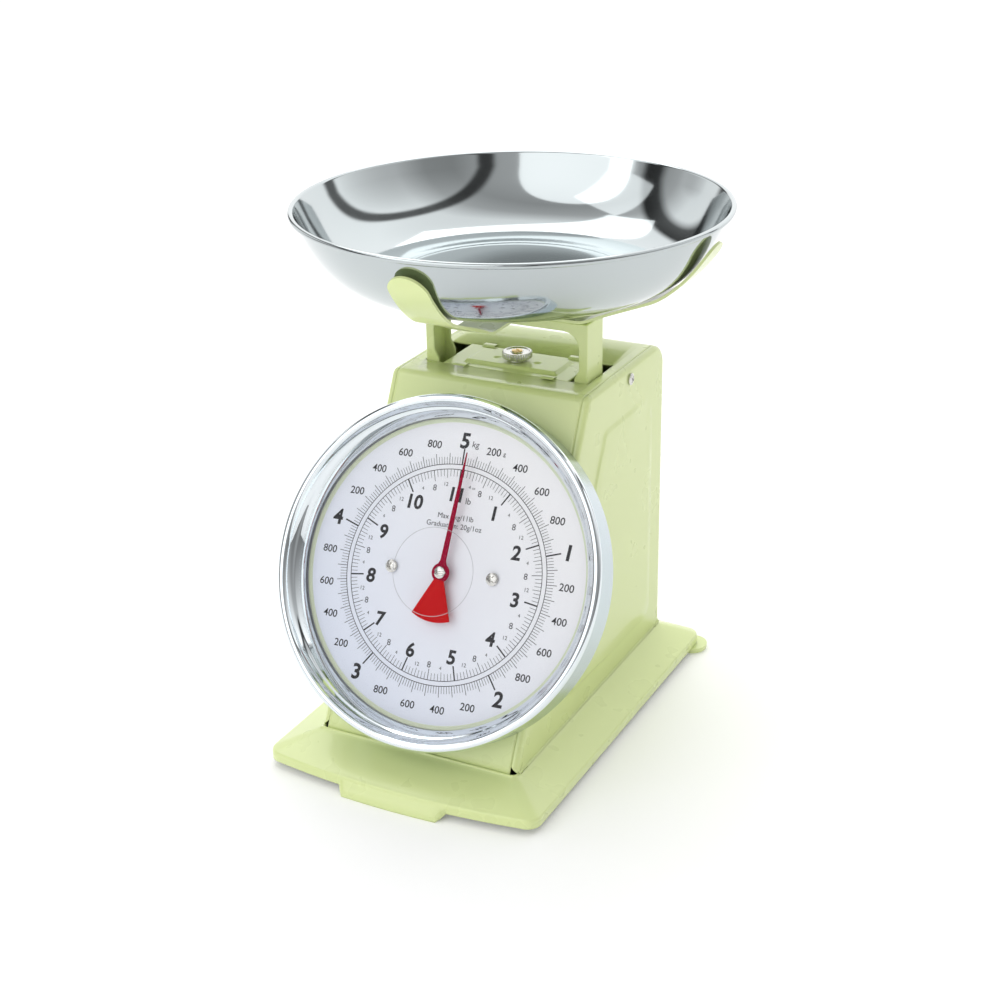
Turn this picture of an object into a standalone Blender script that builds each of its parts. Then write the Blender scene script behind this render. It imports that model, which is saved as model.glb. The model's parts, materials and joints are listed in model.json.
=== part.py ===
"""Mechanical kitchen scale with a lift-off steel bowl and a round tilted dial.

Metres, +Z up, front towards -Y.  The origin is on the worktop, in the middle of the footprint.
The housing stands on the base's front tongue and two rear feet.  A yoke carries the bowl
bracket and comes down through two slots to two crossbars.  Two links keep it upright, two coil
springs hold it up, and its hook draws a rack past the pointer's pinion: 5 kg is one full turn.
"""

import bpy
import bmesh
from math import cos, sin, tan, pi, radians, sqrt, atan2, hypot
from mathutils import Matrix, Vector

MM = 0.001

# --- Clearances and sheet thicknesses ---------------------------------------------------------
GAP = 0.3 * MM                   # between pieces that touch
RUN = 0.4 * MM                   # radial, round a turning pin
SHEET = 1.0 * MM                 # housing panels
PLATE = 1.5 * MM                 # yoke, bracket, movement plates

# --- Sizes that the others follow --------------------------------------------------------------
BEZEL_R = 92.3 * MM              # the dial fills the front wall, so this sets the body's height
FRONT_TILT = radians(27.05)      # the front wall leans back from upright
BODY_HALF_W = 58.0 * MM          # outer face of the side panels
BODY_FOLD_Z = 16.6 * MM          # where the walls meet the base skirt
BODY_BACK_Y = 89.5 * MM
FRONT_TOP_Y = -11.7 * MM         # front wall's upper edge, before rounding
AXIS_Y = 18.0 * MM               # bowl, bracket and yoke are centred here
BOWL_R = 115.5 * MM
BOWL_DEPTH = 40.6 * MM

# --- Housing ----------------------------------------------------------------------------------
DIAL_Z = BODY_FOLD_Z + BEZEL_R * cos(FRONT_TILT) + 5.9 * MM
BODY_TOP_Z = DIAL_Z + BEZEL_R * cos(FRONT_TILT) + 5.1 * MM
FRONT_FOLD_Y = FRONT_TOP_Y - (BODY_TOP_Z - BODY_FOLD_Z) * tan(FRONT_TILT)
TOP_FRONT_ROUND = 5.0 * MM
TOP_BACK_ROUND = 12.5 * MM
FOOT_ROUND = 3.2 * MM
PANEL_ROUND = 3.0 * MM           # rounded rim of a side panel

# --- Base -------------------------------------------------------------------------------------
BASE_HALF_W = BODY_HALF_W + 21.5 * MM
BASE_FRONT_Y = FRONT_FOLD_Y - 21.8 * MM      # at the corners; the edge bows forward between them
BASE_BACK_Y = BODY_BACK_Y + 11.5 * MM
BASE_FRONT_BOW = 5.8 * MM
BASE_BACK_BOW = 3.0 * MM
BASE_CORNER = 8.0 * MM
LIP_TOP_Z = 9.0 * MM
LIP_BOTTOM_Z = 3.5 * MM
BASE_SHEET = 1.2 * MM
TONGUE_HALF_W = 29.0 * MM
TONGUE_FRONT_Y = BASE_FRONT_Y - BASE_FRONT_BOW - 4.6 * MM
REAR_FOOT_R = 9.3 * MM
REAR_FOOT_X = BASE_HALF_W - 3.5 * MM
REAR_FOOT_Y = BASE_BACK_Y - 3.7 * MM

# --- Movement: pinion, rack and travel --------------------------------------------------------
MODULE = 0.5 * MM
PINION_TEETH = 13
RACK_TEETH = 21
RACK_RUN_IN = 4                              # teeth below the pinion with an empty bowl
TOOTH_HALF = 0.22                            # half a tooth at its root, in pitches
TOOTH_ROOT = 1.2 * MODULE                    # below and above the pitch line
TOOTH_TIP = 0.76 * MODULE
RACK_BACK = 3.2 * MM                         # pitch line to the rack's plain edge
PITCH_R = MODULE * PINION_TEETH / 2
RACK_X = PITCH_R
RACK_TRAVEL = 2 * pi * PITCH_R               # one turn of the pointer
TRAVEL = RACK_TRAVEL * cos(FRONT_TILT)       # platform stroke at full load
SHAFT_R = 1.25 * MM
GEAR_W = 4.0 * MM

# --- Bowl, bracket and yoke -------------------------------------------------------------------
BOWL_FLAT_R = BOWL_R * 4 / 7
BOWL_WALL = 0.8 * MM
BRACKET_Z = BODY_TOP_Z + TRAVEL + 14.0 * MM  # underside of the bracket's hub
BOWL_FLOOR_Z = BRACKET_Z + 17.1 * MM
BOWL_RIM_Z = BOWL_FLOOR_Z + BOWL_DEPTH
ARM_WIDTH = 22.0 * MM
HUB_FILLET = 12.0 * MM
ARM_BEND_R = 45.0 * MM           # the arms leave the hub's plane here
ARM_RISE_R = BOWL_R * 8 / 11     # and start to curve up here
ARM_TIP_R = BOWL_R - 1.0 * MM
YOKE_HALF_W = BODY_HALF_W - 10.2 * MM
YOKE_DEPTH = 20.0 * MM
YOKE_FLANGE = 5.0 * MM
YOKE_FOOT_FLANGE = 7.6 * MM
YOKE_REAR_LIP = 2.2 * MM         # shallow behind the crossbar, to pass over the zero knob
YOKE_FILLET = 9.0 * MM
SLOT_FRONT_Y = AXIS_Y - YOKE_DEPTH / 2 - 0.7 * MM      # opening in the top of the housing
SLOT_BACK_Y = AXIS_Y + YOKE_DEPTH / 2 + 13.0 * MM
SLOT_SIDE_GAP = 0.8 * MM
HANGER_PLATE_HALF_W = YOKE_HALF_W - 10.8 * MM
EMBOSS = 1.5 * MM

# --- Dial, in heights above the dial's face along its own axis --------------------------------
DIAL_PROUD = 7.5 * MM            # the dial's face stands this far in front of the front wall
WALL_Y = FRONT_TOP_Y - (BODY_TOP_Z - DIAL_Z + DIAL_PROUD * sin(FRONT_TILT)) * tan(FRONT_TILT)
DIAL_Y = WALL_Y - DIAL_PROUD * cos(FRONT_TILT)
BEZEL_BACK_R = BEZEL_R - 1.7 * MM
BEZEL_FRONT = 15.4 * MM
BEZEL_STEP_R = BEZEL_R - 7.7 * MM            # the rim's slope gets steeper here
BEZEL_STEP_H = 10.0 * MM
BEZEL_INNER_R = BEZEL_R - 11.0 * MM
BEZEL_INNER_H = 4.0 * MM
BEZEL_SHEET = 1.2 * MM
LENS_R = BEZEL_INNER_R + 4.0 * MM            # flange under the bezel's lip
LENS_DOME_R = BEZEL_INNER_R - 1.0 * MM
LENS_EDGE_H = 5.0 * MM                       # top of the dome, at its edge and in the middle
LENS_TOP_H = 14.8 * MM
LENS_THICK = 1.5 * MM
DIAL_SHEET = 0.8 * MM
APERTURE_R = 36.0 * MM
RIVET_PCD_R = APERTURE_R + 10.0 * MM
RIVET_R = 2.0 * MM
DIAL_SCREW_X = APERTURE_R - 7.0 * MM
DIAL_SCREW_R = 1.6 * MM
PILLAR_R = 3.5 * MM
POINTER_H = 4.4 * MM
POINTER_THICK = 0.8 * MM
POINTER_TIP_R = BEZEL_R - 28.7 * MM
POINTER_TAIL_R = 26.0 * MM
MOVEMENT_FRONT_H = -12.0 * MM    # movement plates, behind the front wall
MOVEMENT_REAR_H = -27.0 * MM
GEAR_H = -21.0 * MM              # middle of the pinion and rack

# --- Carriage, links, springs -----------------------------------------------------------------
UPPER_BAR_Z = BODY_TOP_Z - 68.0 * MM
LOWER_BAR_Z = UPPER_BAR_Z - 62.0 * MM
BAR_H = 7.0 * MM
BAR_Y_DEPTH = 10.0 * MM
YOKE_FOOT_Z = LOWER_BAR_Z - 6.0 * MM
PIN_R = 1.5 * MM
CARRIAGE_PIN_Y = AXIS_Y + BAR_Y_DEPTH / 2 + 5.0 * MM
LINK_LENGTH = BODY_BACK_Y - CARRIAGE_PIN_Y - 11.5 * MM
LINK_WIDTH = 40.0 * MM
LINK_SWING = TRAVEL / LINK_LENGTH            # radians, half above and half below level
BARREL_R = 3.6 * MM
SPRING_X = 25.0 * MM
SPRING_R = 5.5 * MM
SPRING_WIRE_R = 0.8 * MM
SPRING_TURNS = 8
HANGER_Z = BODY_TOP_Z - 14.0 * MM            # middle of the spring hanger
HANGER_H = 5.0 * MM
KNOB_Y = AXIS_Y + 4.5 * MM
KNOB_R = 8.2 * MM
KNOB_NECK_R = 5.2 * MM
KNURLS = 40                                  # ridges and valleys together
ZERO_SCREW_R = 2.0 * MM
RACK_PIN_R = 1.2 * MM
RACK_PIN_H = GEAR_H - 1.6 * MM               # the rack's pin, in the dial's heights
RACK_HEAD = 5.5 * MM                         # end of the toothed strip to the pin
RACK_LAST = (RACK_TEETH - 1 - RACK_RUN_IN + TOOTH_HALF) * pi * MODULE
RACK_PIN_UP = RACK_LAST + 0.5 * MM + RACK_HEAD   # least height up the dial that clears the teeth
RACK_PIN_Z = max(UPPER_BAR_Z + 1.0 * MM,
                 DIAL_Z + RACK_PIN_UP * cos(FRONT_TILT) + RACK_PIN_H * sin(FRONT_TILT))
RACK_PIN_Y = DIAL_Y + ((RACK_PIN_Z - DIAL_Z) * sin(FRONT_TILT) - RACK_PIN_H) / cos(FRONT_TILT)

# --- Colours ----------------------------------------------------------------------------------
CREAM = (0.80, 0.83, 0.55, 1.0)
STEEL = (0.72, 0.73, 0.74, 1.0)
ZINC = (0.55, 0.56, 0.55, 1.0)
WHITE = (0.86, 0.86, 0.93, 1.0)
RED = (0.70, 0.02, 0.04, 1.0)
BRASS = (0.72, 0.53, 0.25, 1.0)
CLEAR = (0.90, 0.93, 0.93, 0.35)


# === Helpers ==================================================================================
def clear_scene():
    for obj in list(bpy.data.objects):
        bpy.data.objects.remove(obj, do_unlink=True)


def material(name, colour, roughness, metallic):
    mat = bpy.data.materials.new(name)
    mat.use_nodes = True
    shader = mat.node_tree.nodes["Principled BSDF"]
    shader.inputs["Base Color"].default_value = colour
    shader.inputs["Roughness"].default_value = roughness
    shader.inputs["Metallic"].default_value = metallic
    return mat


def empty(name, matrix):
    frame = bpy.data.objects.new(name, None)
    bpy.context.collection.objects.link(frame)
    frame.matrix_world = matrix
    return frame


def add_object(name, bm, finish, parent=None):
    """Turn a bmesh into a named object, with its faces pointing out."""
    bmesh.ops.remove_doubles(bm, verts=bm.verts, dist=0.002 * MM)
    bmesh.ops.recalc_face_normals(bm, faces=bm.faces)
    mesh = bpy.data.meshes.new(name)
    bm.to_mesh(mesh)
    bm.free()
    mesh.shade_smooth()
    mesh.set_sharp_from_angle(angle=radians(30))
    obj = bpy.data.objects.new(name, mesh)
    bpy.context.collection.objects.link(obj)
    obj.data.materials.append(material(name, *finish))
    obj.parent = parent
    return obj


def ring_faces(bm, rings, closed):
    """Join rings of vertices with quads; closed also joins the last ring to the first."""
    count = len(rings)
    for i in range(count if closed else count - 1):
        lower = rings[i]
        upper = rings[(i + 1) % count]
        size = len(lower)
        for j in range(size):
            k = (j + 1) % size
            bm.faces.new((lower[j], lower[k], upper[k], upper[j]))


def loft(rings, closed=False, cap=True):
    """A body through rings of points; open lofts get a flat cap at each end."""
    bm = bmesh.new()
    loops = [[bm.verts.new(point) for point in ring] for ring in rings]
    ring_faces(bm, loops, closed)
    if cap and not closed:
        bm.faces.new(loops[0])
        bm.faces.new(loops[-1])
    return bm


def revolve(profile, steps=48):
    """Turn a closed (radius, height) outline about Z; points on the axis are allowed."""
    bm = bmesh.new()
    rings = []
    for radius, height in profile:
        turn = [2 * pi * i / steps for i in range(steps)]
        rings.append([bm.verts.new((radius * cos(a), radius * sin(a), height)) for a in turn])
    count = len(profile)
    for i in range(count):
        k = (i + 1) % count
        if profile[i][0] == 0.0 and profile[k][0] == 0.0:
            continue
        for j in range(steps):
            m = (j + 1) % steps
            bm.faces.new((rings[i][j], rings[i][m], rings[k][m], rings[k][j]))
    bmesh.ops.remove_doubles(bm, verts=bm.verts, dist=0.002 * MM)
    return bm


def disc(radius, low, high, steps=32):
    return revolve([(0.0, low), (radius, low), (radius, high), (0.0, high)], steps)


def washer(inner, outer, low, high, steps=32):
    return revolve([(inner, low), (outer, low), (outer, high), (inner, high)], steps)


def box(low, high):
    bm = bmesh.new()
    bmesh.ops.create_cube(bm, size=1.0)
    for vert in bm.verts:
        vert.co = Vector([lo + (c + 0.5) * (hi - lo) for c, lo, hi in zip(vert.co, low, high)])
    return bm


def circle(radius, steps, centre=(0.0, 0.0)):
    turn = [2 * pi * i / steps for i in range(steps)]
    return [(centre[0] + radius * cos(a), centre[1] + radius * sin(a)) for a in turn]


def rectangle(x_low, y_low, x_high, y_high):
    return [(x_low, y_low), (x_high, y_low), (x_high, y_high), (x_low, y_high)]


def plate(loops, low, high):
    """A flat plate between two heights: the first loop is its edge, the others are holes."""
    bm = bmesh.new()
    edges = []
    for loop in loops:
        verts = [bm.verts.new((x, y, low)) for x, y in loop]
        edges += [bm.edges.new((verts[i - 1], verts[i])) for i in range(len(verts))]
    bmesh.ops.triangle_fill(bm, use_beauty=True, use_dissolve=False, edges=edges)
    extruded = bmesh.ops.extrude_face_region(bm, geom=bm.faces[:])
    raised = [item for item in extruded["geom"] if isinstance(item, bmesh.types.BMVert)]
    bmesh.ops.translate(bm, verts=raised, vec=(0.0, 0.0, high - low))
    return bm


def moved(bm, matrix):
    bmesh.ops.transform(bm, matrix=matrix, verts=bm.verts)
    return bm


def along_x(bm):
    """Turn a body made on Z so that its (x, y, z) become (y, z, x)."""
    return moved(bm, Matrix(((0, 0, 1, 0), (1, 0, 0, 0), (0, 1, 0, 0), (0, 0, 0, 1))))


def boolean(obj, other, operation):
    """Cut or join another object, which stays hidden as a guide."""
    modifier = obj.modifiers.new(operation.title(), "BOOLEAN")
    modifier.operation = operation
    modifier.object = other
    other.hide_render = True
    other.display_type = "WIRE"


def guide(bm, name, parent=None):
    return add_object(name, bm, (ZINC, 0.5, 0.0), parent)


def unit(vector):
    length = hypot(*vector)
    return (vector[0] / length, vector[1] / length)


def rounded(points, radii, inset=0.0, steps=5, closed=True):
    """Offset an anticlockwise outline inwards and round its corners with arcs."""
    count = len(points)
    result = []
    for i, point in enumerate(points):
        before = points[i - 1] if closed or i else None
        after = points[(i + 1) % count] if closed or i < count - 1 else None
        along_in = unit((point[0] - before[0], point[1] - before[1])) if before else None
        along_out = unit((after[0] - point[0], after[1] - point[1])) if after else None
        if along_in is None or along_out is None:
            along = along_in or along_out
            result.append((point[0] - along[1] * inset, point[1] + along[0] * inset))
            continue
        cross = along_in[0] * along_out[1] - along_in[1] * along_out[0]
        turn = atan2(cross, along_in[0] * along_out[0] + along_in[1] * along_out[1])
        reach = tan(turn / 2)
        corner = (point[0] - along_in[1] * inset - along_in[0] * inset * reach,
                  point[1] + along_in[0] * inset - along_in[1] * inset * reach)
        radius = max(radii[i] - inset, 0.0)
        if radius == 0.0:
            result.append(corner)
            continue
        start = (corner[0] - along_in[0] * radius * reach, corner[1] - along_in[1] * radius * reach)
        centre = (start[0] - along_in[1] * radius, start[1] + along_in[0] * radius)
        first = atan2(start[1] - centre[1], start[0] - centre[0])
        for step in range(steps + 1):
            angle = first + turn * step / steps
            result.append((centre[0] + radius * cos(angle), centre[1] + radius * sin(angle)))
    return result


def bezier(p0, p1, p2, p3, steps):
    """Points of a cubic curve from p0 to p3."""
    points = []
    for i in range(steps + 1):
        t = i / steps
        weights = ((1 - t) ** 3, 3 * (1 - t) ** 2 * t, 3 * (1 - t) * t * t, t ** 3)
        points.append(tuple(sum(w * p[k] for w, p in zip(weights, (p0, p1, p2, p3)))
                            for k in range(2)))
    return points


# === Places worked out from the sizes =========================================================
SIDE_CORNERS = [(FRONT_FOLD_Y, BODY_FOLD_Z + GAP), (BODY_BACK_Y, BODY_FOLD_Z + GAP),
                (BODY_BACK_Y, BODY_TOP_Z), (FRONT_TOP_Y, BODY_TOP_Z)]
SIDE_RADII = [FOOT_ROUND, FOOT_ROUND, TOP_BACK_ROUND, TOP_FRONT_ROUND]
COVER_HALF_W = BODY_HALF_W - PANEL_ROUND - GAP

CREAM_PAINT = (CREAM, 0.25, 0.0)
POLISHED = (STEEL, 0.12, 1.0)
ZINC_PLATE = (ZINC, 0.4, 1.0)
BRIGHT = (STEEL, 0.2, 1.0)
TURNED_BRASS = (BRASS, 0.3, 1.0)
SPRING_STEEL = ((0.45, 0.46, 0.48, 1.0), 0.3, 1.0)


# === Base =====================================================================================
def base_ring(half_w, front_y, back_y, front_bow, back_bow, radius, height, inset=0.0):
    """Plan outline of the base at one height: bowed front and back, straight sides."""
    corners = [(-half_w, front_y), (half_w, front_y), (half_w, back_y), (-half_w, back_y)]
    corner_steps, bow_steps = 4, 8
    outline = rounded(corners, [radius] * 4, inset, corner_steps)
    per_corner = corner_steps + 1
    groups = [outline[i * per_corner:(i + 1) * per_corner] for i in range(4)]
    points = []
    for i, group in enumerate(groups):
        points += group
        bow = (front_bow, 0.0, -back_bow, 0.0)[i]
        if bow == 0.0:
            continue
        start, end = group[-1], groups[(i + 1) % 4][0]
        for step in range(1, bow_steps):
            t = step / bow_steps
            points.append((start[0] + (end[0] - start[0]) * t,
                           start[1] - bow * 4 * t * (1 - t)))
    return [(x, y, height) for x, y in points]


def lip_ring(height, inset=0.0):
    return base_ring(BASE_HALF_W, BASE_FRONT_Y, BASE_BACK_Y, BASE_FRONT_BOW, BASE_BACK_BOW,
                     BASE_CORNER, height, inset)


def fold_ring(height, inset=0.0):
    return base_ring(BODY_HALF_W, FRONT_FOLD_Y, BODY_BACK_Y, GAP / 2, GAP / 2,
                     FOOT_ROUND, height, inset)


def build_base():
    rings = [fold_ring(BODY_FOLD_Z), lip_ring(LIP_TOP_Z), lip_ring(LIP_BOTTOM_Z),
             lip_ring(LIP_BOTTOM_Z, BASE_SHEET), lip_ring(LIP_TOP_Z - BASE_SHEET, BASE_SHEET),
             fold_ring(BODY_FOLD_Z - BASE_SHEET, BASE_SHEET)]
    skirt = add_object("base_skirt", loft(rings, closed=True), CREAM_PAINT)
    lip_y = BASE_FRONT_Y - BASE_FRONT_BOW
    root = lip_y + BASE_SHEET + GAP
    sheet = 1.6 * MM
    tongue = [(root, LIP_TOP_Z - GAP), (root, LIP_BOTTOM_Z + GAP),
              (TONGUE_FRONT_Y + sheet, sheet), (TONGUE_FRONT_Y + sheet, 0.0),
              (TONGUE_FRONT_Y, 0.0), (TONGUE_FRONT_Y, LIP_BOTTOM_Z), (lip_y - GAP, LIP_TOP_Z - GAP)]
    bm = along_x(plate([tongue], -TONGUE_HALF_W, TONGUE_HALF_W))
    boolean(skirt, guide(bm, "tongue_guide"), "UNION")

    floor_inset = BASE_SHEET + MM
    floor = [lip_ring(LIP_BOTTOM_Z + MM, floor_inset), lip_ring(LIP_BOTTOM_Z + 2 * MM, floor_inset)]
    add_object("bottom_plate", loft(floor), ZINC_PLATE)

    for side, name in ((-1, "rear_foot_left"), (1, "rear_foot_right")):
        top = LIP_BOTTOM_Z - GAP
        edge = 1.2 * MM
        profile = [(0.0, 0.0), (REAR_FOOT_R - edge, 0.0), (REAR_FOOT_R, edge), (REAR_FOOT_R, top),
                   (0.0, top)]
        bm = moved(revolve(profile, 32), Matrix.Translation((side * REAR_FOOT_X, REAR_FOOT_Y, 0)))
        add_object(name, bm, CREAM_PAINT)


# === Housing ==================================================================================
def build_cover(dial):
    """Front, top and back as one bent strip, with the slot opening and the dial aperture."""
    path = [(BODY_BACK_Y, BODY_FOLD_Z + GAP), SIDE_CORNERS[2], SIDE_CORNERS[3],
            (FRONT_FOLD_Y, BODY_FOLD_Z + GAP)]
    radii = [0.0, TOP_BACK_ROUND, TOP_FRONT_ROUND, 0.0]
    outer = rounded(path, radii, 0.0, closed=False)
    inner = rounded(path, radii, SHEET, closed=False)
    bm = along_x(plate([outer + inner[::-1]], -COVER_HALF_W, COVER_HALF_W))
    cover = add_object("centre_cover", bm, CREAM_PAINT)
    half_w = YOKE_HALF_W + SLOT_SIDE_GAP
    reach = 5 * MM
    opening = box((-half_w, SLOT_FRONT_Y, BODY_TOP_Z - reach),
                  (half_w, SLOT_BACK_Y, BODY_TOP_Z + reach))
    boolean(cover, guide(opening, "slot_guide"), "DIFFERENCE")
    bore = disc(APERTURE_R, -DIAL_PROUD - reach, -DIAL_PROUD + reach, 40)
    boolean(cover, guide(bore, "aperture_guide", dial), "DIFFERENCE")
    for i, (x, y) in enumerate(rivet_places()):
        hole = disc(RIVET_R + GAP, -DIAL_PROUD - reach, -DIAL_PROUD + reach, 12)
        hole = moved(hole, Matrix.Translation((x, y, 0)))
        boolean(cover, guide(hole, f"rivet_guide_{i + 1}", dial), "DIFFERENCE")


def build_side_panel(name, side):
    """A pressed tray: flat face, rounded rim, open towards the inside."""
    arc_steps = 3
    rings = []
    for depth, radius in ((0.0, PANEL_ROUND), (SHEET, PANEL_ROUND - SHEET)):
        rim = []
        for step in range(arc_steps + 1):
            angle = pi / 2 * step / arc_steps
            x = BODY_HALF_W - PANEL_ROUND + radius * sin(angle)
            inset = depth + radius * (1 - cos(angle))
            outline = rounded(SIDE_CORNERS, SIDE_RADII, inset)
            rim.append([(side * x, y, z) for y, z in outline])
        rings.append(rim)
    bm = loft(rings[0][::-1] + rings[1])
    panel = add_object(name, bm, CREAM_PAINT)
    screw_y, screw_z = side_screw_place()
    bore = disc(2.0 * MM + GAP, BODY_HALF_W - 8 * MM, BODY_HALF_W + 5 * MM, 12)
    bore = moved(along_x(bore), Matrix.Translation((0, screw_y, screw_z)))
    if side < 0:
        bore = moved(bore, Matrix.Scale(-1, 4, (1, 0, 0)))
    boolean(panel, guide(bore, f"{name}_guide"), "DIFFERENCE")


def side_screw_place():
    return 41.0 * MM, BODY_TOP_Z - 6.6 * MM


def build_side_screws():
    screw_y, screw_z = side_screw_place()
    head = BODY_HALF_W + GAP
    profile = [(0.0, head - 6 * MM), (2.0 * MM, head - 6 * MM), (2.0 * MM, head),
               (3.2 * MM, head), (3.2 * MM, head + 0.8 * MM), (2.2 * MM, head + 1.5 * MM),
               (0.0, head + 1.5 * MM)]
    for side, name in ((-1, "side_screw_left"), (1, "side_screw_right")):
        bm = moved(along_x(revolve(profile, 16)), Matrix.Translation((0, screw_y, screw_z)))
        if side < 0:
            bm = moved(bm, Matrix.Scale(-1, 4, (1, 0, 0)))
        add_object(name, bm, BRIGHT)


def build_hanger_plate():
    """The plate between the slots: flush, raised in the middle, hooked over the opening's edges."""
    front, back = SLOT_FRONT_Y + GAP, SLOT_BACK_Y - GAP
    top = BODY_TOP_Z
    low = top - PLATE
    bm = box((-HANGER_PLATE_HALF_W, front, low), (HANGER_PLATE_HALF_W, back, top))
    body = add_object("hanger_plate", bm, CREAM_PAINT)
    half_w, step = 28.0 * MM, 2.0 * MM
    near, far = front + 5 * MM, back - 5 * MM
    emboss = [[(-half_w, near, top - 0.7 * MM), (half_w, near, top - 0.7 * MM),
               (half_w, far, top - 0.7 * MM), (-half_w, far, top - 0.7 * MM)],
              [(-half_w + step, near + step, top + EMBOSS), (half_w - step, near + step, top + EMBOSS),
               (half_w - step, far - step, top + EMBOSS), (-half_w + step, far - step, top + EMBOSS)]]
    boolean(body, guide(loft(emboss), "emboss_guide"), "UNION")
    for i, x in enumerate((-26.0 * MM, 26.0 * MM)):
        for j, (edge, sign) in enumerate(((front, -1), (back, 1))):
            hook = [(edge - sign * 3 * MM, top - 0.8 * MM), (edge - sign * 0.1 * MM, top - 0.8 * MM),
                    (edge - sign * 0.1 * MM, top + GAP), (edge + sign * 3 * MM, top + GAP),
                    (edge + sign * 3 * MM, top + 1.1 * MM), (edge - sign * 2 * MM, top + 1.1 * MM)]
            bm = along_x(plate([hook], x - 4 * MM, x + 4 * MM))
            boolean(body, guide(bm, f"tab_guide_{i}{j}"), "UNION")
    bore = disc(ZERO_SCREW_R + RUN, low - 5 * MM, top + 5 * MM, 16)
    bore = moved(bore, Matrix.Translation((0, KNOB_Y, 0)))
    boolean(body, guide(bore, "zero_bore_guide"), "DIFFERENCE")


# === Bowl =====================================================================================
def bowl_wall_points():
    """Outer side of the bowl, from the flat bottom up to the rim."""
    neck_r = BOWL_R - 2.4 * MM
    return bezier((BOWL_FLAT_R, BOWL_FLOOR_Z), (BOWL_FLAT_R + 8.5 * MM, BOWL_FLOOR_Z),
                  (neck_r - 15.4 * MM, BOWL_FLOOR_Z - 3.1 * MM), (neck_r, BOWL_RIM_Z - 1.3 * MM), 9)


def build_bowl(parent):
    outer = bowl_wall_points()
    wall = []
    for i, (radius, height) in enumerate(outer):
        before, after = outer[max(i - 1, 0)], outer[min(i + 1, len(outer) - 1)]
        along = unit((after[0] - before[0], after[1] - before[1]))
        wall.append((radius - along[1] * BOWL_WALL, height + along[0] * BOWL_WALL))
    lip = [(BOWL_R, BOWL_RIM_Z - 1.3 * MM), (BOWL_R, BOWL_RIM_Z - 0.4 * MM),
           (BOWL_R - 0.6 * MM, BOWL_RIM_Z), (BOWL_R - 2.6 * MM, BOWL_RIM_Z)]
    profile = [(0.0, BOWL_FLOOR_Z)] + outer + lip + wall[-2::-1] + [(0.0, BOWL_FLOOR_Z + BOWL_WALL)]
    bm = revolve(profile, 40)
    add_object("bowl", bm, POLISHED, parent)


# === Bracket and yoke =========================================================================
def arm_path():
    """Underside of an arm as (radius, height): straight, then curving up beside the bowl."""
    rise_z = BOWL_FLOOR_Z - 1.2 * MM
    tip_z = BOWL_RIM_Z - 9.9 * MM
    curve = bezier((ARM_RISE_R, rise_z), (ARM_RISE_R + 10.8 * MM, rise_z + 5.3 * MM),
                   (ARM_TIP_R - 6.1 * MM, tip_z - 12.6 * MM), (ARM_TIP_R, tip_z), 9)
    return [(ARM_BEND_R, BRACKET_Z), (ARM_BEND_R + 13 * MM, BRACKET_Z + 5.77 * MM)] + curve


def build_bracket(parent):
    """Four-armed spider under the bowl: a filleted hub and four arms with round ends."""
    half = ARM_WIDTH / 2
    path = arm_path()
    lengths = [0.0]
    for (r0, z0), (r1, z1) in zip(path, path[1:]):
        lengths.append(lengths[-1] + hypot(r1 - r0, z1 - z0))
    end = lengths[-1]
    bm = bmesh.new()
    hub = []
    for quarter in range(4):
        turn = Matrix.Rotation(quarter * pi / 2, 4, "Z")
        first = [bm.verts.new(turn @ Vector((ARM_BEND_R, side * half, BRACKET_Z)))
                 for side in (-1, 1)]
        hub += first
        row = first
        for (radius, height), length in zip(path[1:], lengths[1:]):
            left = end - length
            width = half if left > half else sqrt(max(half ** 2 - (half - left) ** 2, 0.0))
            if width < 0.5 * MM:
                tip = bm.verts.new(turn @ Vector((radius, 0.0, height)))
                bm.faces.new((row[0], tip, row[1]))
                break
            new = [bm.verts.new(turn @ Vector((radius, side * width, height))) for side in (-1, 1)]
            bm.faces.new((row[0], new[0], new[1], row[1]))
            row = new
        inner = half + HUB_FILLET
        for step in range(7):
            angle = 3 * pi / 2 - pi / 2 * step / 6
            x, y = inner + HUB_FILLET * cos(angle), inner + HUB_FILLET * sin(angle)
            hub.append(bm.verts.new(turn @ Vector((x, y, BRACKET_Z))))
    bm.faces.new(hub)
    bracket = add_object("bowl_bracket", bm, CREAM_PAINT, parent)
    solidify = bracket.modifiers.new("Sheet", "SOLIDIFY")
    solidify.thickness = PLATE
    solidify.offset = -1.0
    solidify.use_even_offset = True
    if bracket.data.polygons[-1].normal.z > 0:
        solidify.offset = 1.0
    bore = guide(disc(2.5 * MM, BRACKET_Z - 5 * MM, BRACKET_Z + 5 * MM, 16), "hub_bore", parent)
    boolean(bracket, bore, "DIFFERENCE")


def yoke_ring(corner, inward, flange, rear):
    """One C-shaped section of the yoke: web outside, flanges along the front and back."""
    x, z = corner
    front, back = -YOKE_DEPTH / 2, YOKE_DEPTH / 2

    def at(depth, y):
        return (x + inward[0] * depth, y, z + inward[1] * depth)

    return [at(0.0, front), at(flange, front), at(flange, front + PLATE), at(PLATE, front + PLATE),
            at(PLATE, back - PLATE), at(rear, back - PLATE), at(rear, back), at(0.0, back)]


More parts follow.
